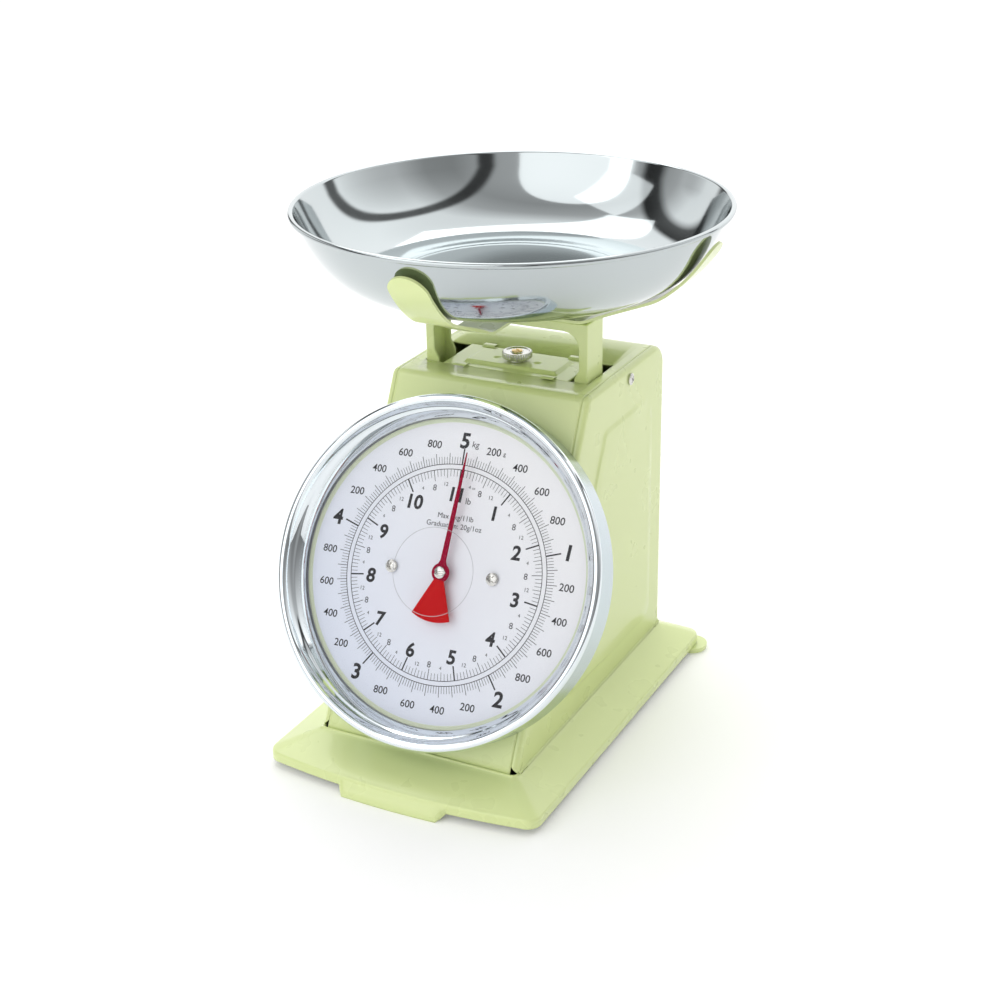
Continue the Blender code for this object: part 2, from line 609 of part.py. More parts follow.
def build_yoke(parent):
    top = BRACKET_Z - GAP
    slot_z = BODY_TOP_Z + 1.5 * MM
    flare_z = BODY_TOP_Z + 6.5 * MM
    stations = [(YOKE_FOOT_Z, YOKE_FOOT_FLANGE), (slot_z, YOKE_FOOT_FLANGE), (flare_z, YOKE_FLANGE)]
    for angle in (0.0, pi / 8):
        drop = YOKE_FLANGE + YOKE_FILLET * (1 - sin(angle))
        stations.append((top - drop, YOKE_FLANGE + YOKE_FILLET * (1 - cos(angle))))
    rings = [yoke_ring((-YOKE_HALF_W, z), (1, 0), flange, flange) for z, flange in stations]
    corner_flange = YOKE_FLANGE + YOKE_FILLET * (1 - cos(pi / 4))
    rings.append(yoke_ring((-YOKE_HALF_W, top), (1, -1), corner_flange, YOKE_FLANGE))
    for angle in (pi / 8, 0.0):
        along = YOKE_FLANGE + YOKE_FILLET * (1 - sin(angle))
        flange = YOKE_FLANGE + YOKE_FILLET * (1 - cos(angle))
        rings.append(yoke_ring((-YOKE_HALF_W + along, top), (0, -1), flange, YOKE_REAR_LIP))
    mirrored = [[(-x, y, z) for x, y, z in ring] for ring in rings[::-1]]
    add_object("yoke", loft(rings + mirrored), CREAM_PAINT, parent)

    shank = 2.0 * MM
    head = BRACKET_Z + PLATE + GAP
    profile = [(0.0, BRACKET_Z + GAP), (shank, BRACKET_Z + GAP), (shank, head), (4.2 * MM, head),
               (4.2 * MM, head + MM), (2.6 * MM, head + 2 * MM), (0.0, head + 2 * MM)]
    add_object("bracket_screw", revolve(profile, 20), BRIGHT, parent)


# === Carriage =================================================================================
def build_carriage(parent):
    """Two crossbars between the posts, with the link pins, and the arm that draws the rack."""
    half_w = YOKE_HALF_W - PLATE - GAP
    for name, z in (("upper_crossbar", UPPER_BAR_Z), ("lower_crossbar", LOWER_BAR_Z)):
        bm = box((-half_w, -BAR_Y_DEPTH / 2, z - BAR_H / 2), (half_w, BAR_Y_DEPTH / 2, z + BAR_H / 2))
        add_object(name, bm, ZINC_PLATE, parent)
        ear_y = BAR_Y_DEPTH / 2 + GAP
        pin_y = CARRIAGE_PIN_Y - AXIS_Y
        for side, end in ((-1, "left"), (1, "right")):
            x = side * (LINK_WIDTH / 2 + 3 * MM)
            outline = [(ear_y, z - BAR_H / 2), (pin_y + 3 * MM, z - 3 * MM),
                       (pin_y + 3 * MM, z + 3 * MM), (ear_y, z + BAR_H / 2)]
            hole = circle(PIN_R + GAP, 12, (pin_y, z))
            bm = along_x(plate([outline, hole], x - PLATE / 2, x + PLATE / 2))
            add_object(f"{name[:5]}_ear_{end}", bm, ZINC_PLATE, parent)
        reach = LINK_WIDTH / 2 + 5.5 * MM
        pin = moved(along_x(disc(PIN_R, -reach, reach, 12)), Matrix.Translation((0, pin_y, z)))
        add_object(f"{name[:5]}_carriage_pin", pin, BRIGHT, parent)

    low = RACK_X + RACK_BACK + 0.2 * MM
    high = low + PLATE
    bar_face = -BAR_Y_DEPTH / 2 - GAP
    reach_y = RACK_PIN_Y - AXIS_Y
    lug = 3.5 * MM
    outline = [(reach_y - lug, RACK_PIN_Z - lug), (bar_face, UPPER_BAR_Z - BAR_H / 2),
               (bar_face, UPPER_BAR_Z + BAR_H / 2), (reach_y - lug, RACK_PIN_Z + lug)]
    hole = circle(RACK_PIN_R + GAP, 12, (reach_y, RACK_PIN_Z))
    add_object("rack_arm", along_x(plate([outline, hole], low, high)), ZINC_PLATE, parent)
    pin = disc(RACK_PIN_R, RACK_X - 2 * MM, high + MM, 12)
    pin = moved(along_x(pin), Matrix.Translation((0, reach_y, RACK_PIN_Z)))
    add_object("rack_pin", pin, BRIGHT, parent)


# === Links ====================================================================================
def build_link(name, bar_z):
    """A plate that swings on the chassis pin; its fork takes the carriage pin."""
    start = LINK_SWING / 2
    pivot_y = CARRIAGE_PIN_Y + LINK_LENGTH * cos(start)
    pivot_z = bar_z - LINK_LENGTH * sin(start)
    frame = empty(f"{name}_pivot", Matrix.Translation((0, pivot_y, pivot_z))
                  @ Matrix.Rotation(-start, 4, "X"))
    half_w = LINK_WIDTH / 2
    thick = 1.6 * MM
    barrel = along_x(washer(PIN_R + RUN, BARREL_R, -half_w, half_w, 16))
    link = add_object(name, barrel, ZINC_PLATE, frame)
    web = box((-half_w, -LINK_LENGTH + 5 * MM, -thick / 2), (half_w, -BARREL_R + 0.8 * MM, thick / 2))
    boolean(link, guide(web, f"{name}_web_guide", frame), "UNION")
    tip = -LINK_LENGTH - 3.0 * MM
    gap = PIN_R + RUN
    wall = gap + 2 * MM
    fork = [(-LINK_LENGTH + 6 * MM, -wall), (-LINK_LENGTH + 6 * MM, wall), (tip, wall), (tip, gap),
            (-LINK_LENGTH + 3.5 * MM, gap), (-LINK_LENGTH + 3.5 * MM, -gap), (tip, -gap), (tip, -wall)]
    for side, end in ((-1, "left"), (1, "right")):
        low = side * (half_w - 1.5 * MM) - 1.5 * MM
        arm = along_x(plate([fork], low, low + 3 * MM))
        boolean(link, guide(arm, f"{name}_fork_{end}", frame), "UNION")
    reach = half_w + 6 * MM
    pin = moved(along_x(disc(PIN_R, -reach, reach, 12)), Matrix.Translation((0, pivot_y, pivot_z)))
    add_object(name.replace("link", "pivot_pin"), pin, BRIGHT)
    return pivot_y, pivot_z


def build_chassis(pivots):
    """Two upright plates on the base that carry the link pivots, tied by a back plate."""
    floor = LIP_BOTTOM_Z + 2 * MM + GAP
    pivot_y = pivots[0][0]
    front, back = pivot_y - 7 * MM, BODY_BACK_Y - SHEET - 1.5 * MM
    top = pivots[0][1] + 9 * MM
    inside = LINK_WIDTH / 2 + 2.5 * MM
    holes = [circle(PIN_R + GAP, 12, place) for place in pivots]
    for side, name in ((-1, "chassis_cheek_left"), (1, "chassis_cheek_right")):
        low = min(side * inside, side * (inside + PLATE))
        outline = rectangle(front, floor, back - PLATE - GAP, top)
        bm = along_x(plate([outline] + holes, low, low + PLATE))
        add_object(name, bm, ZINC_PLATE)
    outer = inside + PLATE
    add_object("chassis_back", box((-outer, back - PLATE, floor), (outer, back, top)), ZINC_PLATE)


# === Springs and zero setting =================================================================
def coil(parent, name, low, high):
    """A coil spring: a round wire on a helix, straight up at both ends."""
    sides, per_turn = 5, 8
    count = SPRING_TURNS * per_turn
    bm = bmesh.new()
    rings = []
    for i in range(count + 1):
        angle = 2 * pi * i / per_turn
        centre = Vector((SPRING_R * cos(angle), SPRING_R * sin(angle), low + (high - low) * i / count))
        pitch = (high - low) / SPRING_TURNS / (2 * pi)
        tangent = Vector((-SPRING_R * sin(angle), SPRING_R * cos(angle), pitch)).normalized()
        outward = Vector((cos(angle), sin(angle), 0.0))
        across = tangent.cross(outward)
        rings.append([bm.verts.new(centre + SPRING_WIRE_R * (cos(a) * outward + sin(a) * across))
                      for a in (2 * pi * k / sides for k in range(sides))])
    ring_faces(bm, rings, closed=False)
    bm.faces.new(rings[0])
    bm.faces.new(rings[-1])
    add_object(name, bm, SPRING_STEEL, parent)


def build_zero_setting():
    knob_frame = empty("zero_frame", Matrix.Translation((0, KNOB_Y, 0)))
    base = BODY_TOP_Z + EMBOSS + GAP
    neck_top = base + 1.6 * MM
    rim_top = neck_top + 3.6 * MM
    edge = 0.5 * MM
    inner = ZERO_SCREW_R + GAP / 2
    recess = 2.9 * MM + GAP
    profile = [(inner, base), (KNOB_NECK_R, base), (KNOB_NECK_R, neck_top), (KNOB_R - edge, neck_top),
               (KNOB_R, neck_top + edge), (KNOB_R, rim_top - edge), (KNOB_R - edge, rim_top),
               (recess, rim_top), (recess, rim_top - 0.4 * MM - GAP), (inner, rim_top - 0.4 * MM - GAP)]
    bm = revolve(profile, KNURLS)
    for vert in bm.verts:
        radius = hypot(vert.co.x, vert.co.y)
        ridge = round(atan2(vert.co.y, vert.co.x) / (2 * pi / KNURLS)) % 2
        if radius > KNOB_NECK_R + edge and ridge:
            vert.co.x *= 1 - 0.35 * MM / radius
            vert.co.y *= 1 - 0.35 * MM / radius
    add_object("zero_knob", bm, POLISHED, knob_frame)
    head_low = rim_top - 0.4 * MM
    low = HANGER_Z - HANGER_H / 2 - 4 * MM
    profile = [(0.0, low), (ZERO_SCREW_R, low), (ZERO_SCREW_R, head_low), (2.9 * MM, head_low),
               (2.9 * MM, head_low + 0.6 * MM), (1.9 * MM, head_low + 1.0 * MM),
               (0.0, head_low + 1.0 * MM)]
    add_object("zero_screw", revolve(profile, 20), TURNED_BRASS, knob_frame)

    half_w, half_d = SPRING_X + 9 * MM, 6 * MM
    y_mid = (AXIS_Y + KNOB_Y) / 2
    outline = rectangle(-half_w, y_mid - half_d, half_w, y_mid + half_d)
    hole = circle(ZERO_SCREW_R + GAP, 16, (0.0, KNOB_Y))
    bm = plate([outline, hole], HANGER_Z - HANGER_H / 2, HANGER_Z + HANGER_H / 2)
    add_object("spring_hanger", bm, ZINC_PLATE)
    low = UPPER_BAR_Z + BAR_H / 2 + SPRING_WIRE_R + GAP
    high = HANGER_Z - HANGER_H / 2 - SPRING_WIRE_R - GAP
    for side, name in ((-1, "spring_left"), (1, "spring_right")):
        frame = empty(f"{name}_frame", Matrix.Translation((side * SPRING_X, AXIS_Y, 0)))
        coil(frame, name, low, high)


# === Dial =====================================================================================
def rivet_places():
    return [(RIVET_PCD_R * cos(a), RIVET_PCD_R * sin(a)) for a in (pi / 4 + pi / 2 * i for i in range(4))]


def lens_height(radius):
    """Top of the domed lens: a parabola from its middle to its edge."""
    return LENS_TOP_H - (LENS_TOP_H - LENS_EDGE_H) * (radius / LENS_DOME_R) ** 2


def build_dial(dial):
    wall_top = BEZEL_STEP_H - 3.0 * MM
    case_r = BEZEL_BACK_R - BEZEL_SHEET - GAP
    back = -DIAL_PROUD + GAP
    rivet_bores = [circle(RIVET_R + GAP, 12, place) for place in rivet_places()]

    ring = washer(APERTURE_R, case_r, back, back + SHEET, 48)
    case = add_object("dial_case", ring, ZINC_PLATE, dial)
    wall = washer(case_r - SHEET, case_r, back + SHEET / 2, wall_top, 48)
    boolean(case, guide(wall, "case_wall_guide", dial), "UNION")
    for i, loop in enumerate(rivet_bores):
        bore = plate([loop], back - MM, back + 2 * MM)
        boolean(case, guide(bore, f"case_bore_{i + 1}", dial), "DIFFERENCE")

    holes = [circle(DIAL_SCREW_R + GAP, 12, (side * DIAL_SCREW_X, 0.0)) for side in (-1, 1)]
    shaft_hole = circle(SHAFT_R + MM, 16)
    edge = circle(case_r - SHEET - 0.5 * MM, 48)
    face = plate([edge, shaft_hole] + holes, -DIAL_SHEET, 0.0)
    add_object("dial_plate", face, (WHITE, 0.35, 0.0), dial)

    flange_top = BEZEL_INNER_H - BEZEL_SHEET - GAP
    inside_r = LENS_DOME_R - LENS_THICK
    over = [(r, lens_height(r)) for r in (LENS_DOME_R * i / 6 for i in range(7))]
    under = [(r, lens_height(r) - LENS_THICK) for r in (inside_r * i / 6 for i in range(6, -1, -1))]
    profile = over + [(LENS_DOME_R, flange_top), (LENS_R, flange_top), (LENS_R, GAP), (inside_r, GAP)]
    add_object("dial_lens", revolve(profile + under, 48), (CLEAR, 0.05, 0.0), dial)

    outer = [(BEZEL_BACK_R, back), (BEZEL_R, BEZEL_FRONT - 4 * MM), (BEZEL_R, BEZEL_FRONT - 1.8 * MM),
             (BEZEL_R - 1.2 * MM, BEZEL_FRONT - 0.3 * MM), (BEZEL_R - 3 * MM, BEZEL_FRONT),
             (BEZEL_R - 5 * MM, BEZEL_FRONT - 1.8 * MM), (BEZEL_STEP_R, BEZEL_STEP_H),
             (BEZEL_INNER_R, BEZEL_INNER_H)]
    inner = [(BEZEL_INNER_R, BEZEL_INNER_H - BEZEL_SHEET),
             (BEZEL_STEP_R + BEZEL_SHEET / 2, BEZEL_STEP_H - BEZEL_SHEET),
             (BEZEL_R - 4.5 * MM, BEZEL_FRONT - 3.2 * MM), (BEZEL_R - 3 * MM, BEZEL_FRONT - 1.4 * MM),
             (BEZEL_R - BEZEL_SHEET - MM, BEZEL_FRONT - 1.8 * MM),
             (BEZEL_R - BEZEL_SHEET, BEZEL_FRONT - 4 * MM), (BEZEL_BACK_R - BEZEL_SHEET, back)]
    add_object("dial_bezel", revolve(outer + inner, 48), POLISHED, dial)

    pillar_low, pillar_high = MOVEMENT_REAR_H + PLATE + GAP, -DIAL_SHEET - GAP
    for side, end in ((-1, "left"), (1, "right")):
        shift = Matrix.Translation((side * DIAL_SCREW_X, 0, 0))
        pillar = washer(DIAL_SCREW_R + GAP, PILLAR_R, pillar_low, pillar_high, 12)
        add_object(f"dial_pillar_{end}", moved(pillar, shift), BRIGHT, dial)
        profile = [(0.0, -7 * MM), (DIAL_SCREW_R, -7 * MM), (DIAL_SCREW_R, GAP), (3.4 * MM, GAP),
                   (3.4 * MM, 1.2 * MM), (2.4 * MM, 2.0 * MM), (0.0, 2.0 * MM)]
        add_object(f"dial_screw_{end}", moved(revolve(profile, 20), shift), BRIGHT, dial)

    for i, (x, y) in enumerate(rivet_places()):
        head = back + SHEET + GAP
        tail = MOVEMENT_FRONT_H - 1.5 * MM
        profile = [(0.0, tail), (RIVET_R, tail), (RIVET_R, head), (3.5 * MM, head),
                   (2.5 * MM, head + 1.2 * MM), (0.0, head + 1.2 * MM)]
        bm = moved(revolve(profile, 12), Matrix.Translation((x, y, 0)))
        add_object(f"case_rivet_{i + 1}", bm, BRIGHT, dial)


# === Movement =================================================================================
def build_movement(dial):
    """Two movement plates with brass bushes, and the guide that holds the rack in mesh."""
    bush_r = 3.5 * MM
    pillar_bores = [circle(PILLAR_R + GAP, 12, (side * DIAL_SCREW_X, 0.0)) for side in (-1, 1)]
    rivet_bores = [circle(RIVET_R + GAP, 12, place) for place in rivet_places()]
    half = RIVET_PCD_R * cos(pi / 4) + 5.5 * MM
    bush_bore = circle(bush_r + GAP, 16)
    front = plate([rectangle(-half, -half, half, half), bush_bore] + pillar_bores + rivet_bores,
                  MOVEMENT_FRONT_H, MOVEMENT_FRONT_H + PLATE)
    add_object("movement_front_plate", front, ZINC_PLATE, dial)
    rear_edge = rectangle(-half, -8 * MM, half, 8 * MM)
    rear = plate([rear_edge, bush_bore], MOVEMENT_REAR_H, MOVEMENT_REAR_H + PLATE)
    add_object("movement_rear_plate", rear, ZINC_PLATE, dial)
    for name, height in (("front_bushing", MOVEMENT_FRONT_H), ("rear_bushing", MOVEMENT_REAR_H)):
        bm = washer(SHAFT_R + 0.1 * MM, bush_r, height - 0.5 * MM, height + PLATE + 0.5 * MM, 16)
        add_object(name, bm, TURNED_BRASS, dial)

    wall_x = RACK_X + RACK_BACK + 0.35 * MM
    low, high = MOVEMENT_REAR_H + PLATE + GAP, MOVEMENT_FRONT_H - GAP
    bm = box((wall_x, -7 * MM, low), (wall_x + 2 * MM, 7 * MM, high))
    add_object("rack_guide", bm, TURNED_BRASS, dial)


def build_pinion(dial):
    """Trapezoid teeth, a good deal narrower than their spaces, so that they never bind."""
    outline = []
    pitch_angle = 2 * pi / PINION_TEETH
    root, tip = PITCH_R - TOOTH_ROOT, PITCH_R + TOOTH_TIP
    for tooth in range(PINION_TEETH):
        middle = tooth * pitch_angle + pitch_angle / 2
        for share, radius in ((-0.24, root), (-0.10, tip), (0.10, tip), (0.24, root)):
            angle = middle + share * pitch_angle
            outline.append((radius * cos(angle), radius * sin(angle)))
    bore = circle(SHAFT_R + 0.15 * MM, 16)
    bm = plate([outline, bore], GEAR_H - GEAR_W / 2, GEAR_H + GEAR_W / 2)
    add_object("pinion", bm, TURNED_BRASS, dial)

    low = MOVEMENT_REAR_H - 1.5 * MM
    hub_low = POINTER_H - GAP
    profile = [(0.0, low), (SHAFT_R, low), (SHAFT_R, hub_low - MM), (0.0, hub_low - MM)]
    add_object("pinion_shaft", revolve(profile, 16), BRIGHT, dial)


def build_rack(dial):
    """Toothed strip beside the pinion, with a forked head for the carriage's pin."""
    pitch = pi * MODULE
    root_x, tip_x, back_x = RACK_X + TOOTH_ROOT, RACK_X - TOOTH_TIP, RACK_X + RACK_BACK
    first = -RACK_RUN_IN * pitch
    bottom = first - pitch
    top = up_dial(RACK_PIN_Y, RACK_PIN_Z) - RACK_HEAD
    outline = [(root_x, bottom)]
    for tooth in range(RACK_TEETH):
        middle = first + tooth * pitch
        for share, x in ((-TOOTH_HALF, root_x), (-0.08, tip_x), (0.08, tip_x), (TOOTH_HALF, root_x)):
            outline.append((x, middle + share * pitch))
    outline += [(root_x, top), (back_x, top), (back_x, bottom)]
    strip = plate([outline], GEAR_H - 1.0 * MM, GEAR_H + 1.0 * MM)
    rack = add_object("rack", strip, ZINC_PLATE, dial)

    neck = box((root_x, top - 3 * MM, RACK_PIN_H - 1.8 * MM), (back_x, top + 3 * MM, GEAR_H + MM))
    boolean(rack, guide(neck, "rack_neck_guide", dial), "UNION")
    slot = TRAVEL * tan(FRONT_TILT)
    gap = RACK_PIN_R + RUN
    wall = gap + 2 * MM
    deep = RACK_PIN_Y - gap - GAP
    mouth = RACK_PIN_Y + slot + 2 * MM
    fork = [(deep - 2 * MM, -wall), (mouth, -wall), (mouth, -gap), (deep, -gap), (deep, gap),
            (mouth, gap), (mouth, wall), (deep - 2 * MM, wall)]
    bm = along_x(plate([[(y, RACK_PIN_Z + z) for y, z in fork]], root_x, back_x))
    bm = moved(bm, dial.matrix_world.inverted())
    boolean(rack, guide(bm, "rack_fork_guide", dial), "UNION")


def up_dial(y, z):
    """How far up the dial's face a point of the middle plane lies."""
    return (y - DIAL_Y) * sin(FRONT_TILT) + (z - DIAL_Z) * cos(FRONT_TILT)


def build_pointer(dial):
    """Needle, hub and weighted tail in one flat piece, held by a screw on the shaft's end."""
    hub_r = 5.0 * MM
    tail_half = radians(27)
    needle_w = 1.4 * MM
    right = [(hub_r * cos(a), hub_r * sin(a)) for a in (radians(-50 + 17 * i) for i in range(8))]
    needle = [(needle_w, hub_r + 1.5 * MM), (0.35 * MM, POINTER_TIP_R)]
    left = [(-x, y) for x, y in (right + needle)[::-1]]
    tail = [(POINTER_TAIL_R * sin(a), -POINTER_TAIL_R * cos(a))
            for a in (-tail_half + 2 * tail_half * i / 8 for i in range(9))]
    outline = right + needle + left + tail
    bm = plate([outline], POINTER_H, POINTER_H + POINTER_THICK)
    add_object("pointer", bm, (RED, 0.35, 0.0), dial)
    head = POINTER_H + POINTER_THICK + GAP
    profile = [(0.0, head), (3.0 * MM, head), (3.0 * MM, head + 0.9 * MM), (2.0 * MM, head + 1.5 * MM),
               (0.0, head + 1.5 * MM)]
    add_object("pointer_screw", revolve(profile, 20), BRIGHT, dial)


# === The whole scale ==========================================================================
def main():
    clear_scene()
    dial = empty("dial_frame", Matrix.Translation((0, DIAL_Y, DIAL_Z))
                 @ Matrix.Rotation(pi / 2 - FRONT_TILT, 4, "X"))
    platform = empty("platform_frame", Matrix.Translation((0, AXIS_Y, 0)))
    bpy.context.view_layer.update()
    build_base()
    build_cover(dial)
    build_side_panel("side_panel_left", -1)
    build_side_panel("side_panel_right", 1)
    build_side_screws()
    build_hanger_plate()
    build_bowl(platform)
    build_bracket(platform)
    build_yoke(platform)
    build_carriage(platform)
    pivots = [build_link("upper_link", UPPER_BAR_Z), build_link("lower_link", LOWER_BAR_Z)]
    build_chassis(pivots)
    build_zero_setting()
    build_dial(dial)
    build_movement(dial)
    build_pinion(dial)
    build_rack(dial)
    build_pointer(dial)


main()
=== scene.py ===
"""Kitchen scale: the finished looks, in metres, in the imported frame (+Z up, front towards -Y).

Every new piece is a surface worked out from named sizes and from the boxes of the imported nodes.
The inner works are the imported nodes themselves, with procedural materials.
"""
import json
from contextlib import contextmanager
from math import cos, pi, radians, sin, sqrt

import bmesh
import bpy
import numpy as np
from mathutils import Matrix, Vector


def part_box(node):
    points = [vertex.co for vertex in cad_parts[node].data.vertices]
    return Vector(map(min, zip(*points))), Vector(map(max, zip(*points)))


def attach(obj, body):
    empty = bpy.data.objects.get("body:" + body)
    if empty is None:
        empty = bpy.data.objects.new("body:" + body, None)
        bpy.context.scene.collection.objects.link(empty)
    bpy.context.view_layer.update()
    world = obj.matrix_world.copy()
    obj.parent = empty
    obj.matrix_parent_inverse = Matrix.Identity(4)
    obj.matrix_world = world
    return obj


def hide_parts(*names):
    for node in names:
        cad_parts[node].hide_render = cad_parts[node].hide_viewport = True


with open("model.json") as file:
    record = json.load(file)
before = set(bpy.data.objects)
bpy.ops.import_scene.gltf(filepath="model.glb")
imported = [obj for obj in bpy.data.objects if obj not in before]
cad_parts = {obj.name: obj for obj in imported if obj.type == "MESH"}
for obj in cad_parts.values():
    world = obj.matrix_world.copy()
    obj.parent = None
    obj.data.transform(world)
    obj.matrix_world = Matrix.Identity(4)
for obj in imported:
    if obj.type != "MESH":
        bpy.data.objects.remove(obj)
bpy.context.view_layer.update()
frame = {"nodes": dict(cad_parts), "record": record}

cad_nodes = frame["nodes"]

MM = 0.001

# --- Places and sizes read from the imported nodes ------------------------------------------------
SKIRT_LOW, SKIRT_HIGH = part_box("base_skirt")
PANEL_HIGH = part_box("side_panel_right")[1]
COVER_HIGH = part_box("centre_cover")[1]
BOWL_LOW, BOWL_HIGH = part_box("bowl")
YOKE_LOW, YOKE_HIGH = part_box("yoke")
KNOB_LOW, KNOB_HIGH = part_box("zero_knob")
FOOT_LOW, FOOT_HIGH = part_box("rear_foot_right")

FRONT_TILT = radians(27.05)              # the front wall leans back from upright
BODY_HALF_W = PANEL_HIGH.x
BODY_BACK_Y = PANEL_HIGH.y
BODY_TOP_Z = COVER_HIGH.z
BODY_FOLD_Z = SKIRT_HIGH.z
FRONT_TOP_Y = -11.7 * MM
FRONT_FOLD_Y = FRONT_TOP_Y - (BODY_TOP_Z - BODY_FOLD_Z) * np.tan(FRONT_TILT)
COVER_HALF_W = COVER_HIGH.x
COVER_INSET = 0.35 * MM                  # keeps the strip's edges inside the side panels
TOP_FRONT_ROUND = 5.0 * MM
TOP_BACK_ROUND = 12.5 * MM
FOOT_ROUND = 3.2 * MM
PANEL_ROUND = 3.0 * MM
SHEET = 1.0 * MM
GAP = 0.3 * MM
SIDES = ((-1, "left"), (1, "right"))
FIELD_FOOT_Z, FIELD_TOP_Z = 30.5 * MM, 168.0 * MM    # raised field of a side panel
FIELD_FRONT_Y, FIELD_BACK_Y = 7.0 * MM, 72.0 * MM
FIELD_RISE = 0.9 * MM
FIELD_RADII = [16 * MM, 9 * MM, 10 * MM, 7 * MM]

BASE_HALF_W = SKIRT_HIGH.x
BASE_BACK_Y = SKIRT_HIGH.y
TONGUE_FRONT_Y = SKIRT_LOW.y
TONGUE_REACH = 4.6 * MM                  # the front tongue stands out this far from the lip
BASE_FRONT_BOW = 5.8 * MM
BASE_FRONT_Y = TONGUE_FRONT_Y + TONGUE_REACH + BASE_FRONT_BOW
BASE_BACK_BOW = 3.0 * MM
LIP_TOP_Z = 9.0 * MM
LIP_BOTTOM_Z = 3.5 * MM
LIP_CORNER = 8.0 * MM                    # corner radius of the base in plan
FOLD_BOW = 0.15 * MM                     # the upper fold is bowed this little
FOLD_PROUD = 0.22 * MM                   # and stands this far outside the housing
BASE_SHEET = 1.2 * MM
TONGUE_HALF_W = 29.0 * MM
REAR_FOOT_R = 9.3 * MM
REAR_FOOT_ROUND = 1.3 * MM

AXIS_Y = (YOKE_LOW.y + YOKE_HIGH.y) / 2  # bowl, bracket and yoke are centred here
SLOT_HALF_W = YOKE_HIGH.x + 0.8 * MM
SLOT_FRONT_Y, SLOT_BACK_Y = 7.3 * MM, 41.0 * MM
BOWL_R = BOWL_HIGH.x
BOWL_FLAT_R = BOWL_R * 4 / 7
BOWL_FLOOR_Z, BOWL_RIM_Z = BOWL_LOW.z, BOWL_HIGH.z
BOWL_WALL = 0.8 * MM
BRACKET_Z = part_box("bowl_bracket")[0].z
BRACKET_SHEET = 1.5 * MM

DIAL_R = 92.3 * MM                       # the bezel's outer radius
DIAL_PROUD = 7.5 * MM                    # the dial's face stands this far off the front wall
DIAL_Z = BODY_FOLD_Z + DIAL_R * cos(FRONT_TILT) + 5.9 * MM
WALL_Y = FRONT_TOP_Y - (BODY_TOP_Z - DIAL_Z + DIAL_PROUD * sin(FRONT_TILT)) * np.tan(FRONT_TILT)
DIAL_Y = WALL_Y - DIAL_PROUD * cos(FRONT_TILT)
DIAL = Matrix.Translation((0, DIAL_Y, DIAL_Z)) @ Matrix.Rotation(pi / 2 - FRONT_TILT, 4, "X")
APERTURE_R = 36.0 * MM                   # hole in the front wall for the movement
DIAL_PLATE_R = 87.0 * MM
LENS_R = 80.3 * MM                       # where the dome meets the lens's foot
LENS_TOP_H, LENS_DROP = 14.8 * MM, 9.8 * MM
MOULDED_RING_R = 22.9 * MM
POINTER_H = 4.4 * MM
POINTER_TAIL_R = 26.0 * MM
POINTER_LEAN = radians(-1.6)             # the pointer rests a little clockwise
PRINT_TURN = radians(2.0)                # the print sits a little anticlockwise
PRINT_H = 0.06 * MM


# === Geometry helpers ===========================================================================
def at(x, y, z=0.0):
    """A shift by x, y, z."""
    return Matrix.Translation((x, y, z))


def put_in_scene(name, data):
    obj = bpy.data.objects.new(name, data)
    bpy.context.scene.collection.objects.link(obj)
    return obj


@contextmanager
def edited(mesh):
    """A mesh's editable form, written back to the mesh when the block ends."""
    bm = bmesh.new()
    bm.from_mesh(mesh)
    yield bm
    bm.to_mesh(mesh)
    bm.free()


def surface(x, y, z):
    """A grid of points from three arrays that stretch to one shape."""
    return np.stack(np.broadcast_arrays(x, y, z), -1)


def grid_quads(index):
    """The quads between neighbouring rows and columns of point numbers."""
    corners = [index[:-1, :-1], index[:-1, 1:], index[1:, 1:], index[1:, :-1]]
    return np.stack(corners, -1).reshape(-1, 4)


def of_faces(mesh, what):
    """A vector of every face, such as its centre or its normal."""
    values = np.zeros(len(mesh.polygons) * 3)
    mesh.polygons.foreach_get(what, values)
    return values.reshape(-1, 3)


def link(mesh, material, body, replaced=(), sharp=40.0):
    """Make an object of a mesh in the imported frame, finish it and let it ride on its body."""
    mesh.shade_smooth()
    mesh.set_sharp_from_angle(angle=radians(sharp))
    obj = put_in_scene(mesh.name, mesh)
    mesh.materials.append(material)
    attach(obj, body)
    if replaced:
        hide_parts(*replaced)
    return obj


def grid_mesh(name, points, wrap=False, wrap_rows=False, matrix=None):
    """Quads over a grid of points (row, column, xyz), merged at poles and seams, faces out."""
    rows, columns = points.shape[:2]
    index = np.arange(rows * columns).reshape(rows, columns)
    if wrap:
        index = np.concatenate([index, index[:, :1]], axis=1)
    if wrap_rows:
        index = np.concatenate([index, index[:1]], axis=0)
    mesh = bpy.data.meshes.new(name)
    mesh.from_pydata(points.reshape(-1, 3).tolist(), [], grid_quads(index).tolist())
    if matrix is not None:
        mesh.transform(matrix)
    return clean(mesh)


def clean(mesh, merge=2e-6):
    """Merge doubled points, drop empty faces and turn the faces outwards."""
    with edited(mesh) as bm:
        bmesh.ops.remove_doubles(bm, verts=bm.verts, dist=merge)
        bmesh.ops.dissolve_degenerate(bm, edges=bm.edges, dist=merge)
        bmesh.ops.recalc_face_normals(bm, faces=bm.faces)
    return mesh


def outward(mesh, centre):
    """Turn an open sheet's faces away from a centre point."""
    away = (of_faces(mesh, "center") - np.array(centre)) * of_faces(mesh, "normal")
    if away.sum() < 0:
        mesh.flip_normals()
    return mesh


def thicken(obj, thickness, bevel=0.0, segments=2):
    """Give a sheet its thickness inwards, and soften its cut edges."""
    solid = obj.modifiers.new("Sheet", "SOLIDIFY")
    solid.thickness = thickness
    solid.offset = -1.0
    solid.use_even_offset = False
    if bevel:
        soften(obj, bevel, segments)


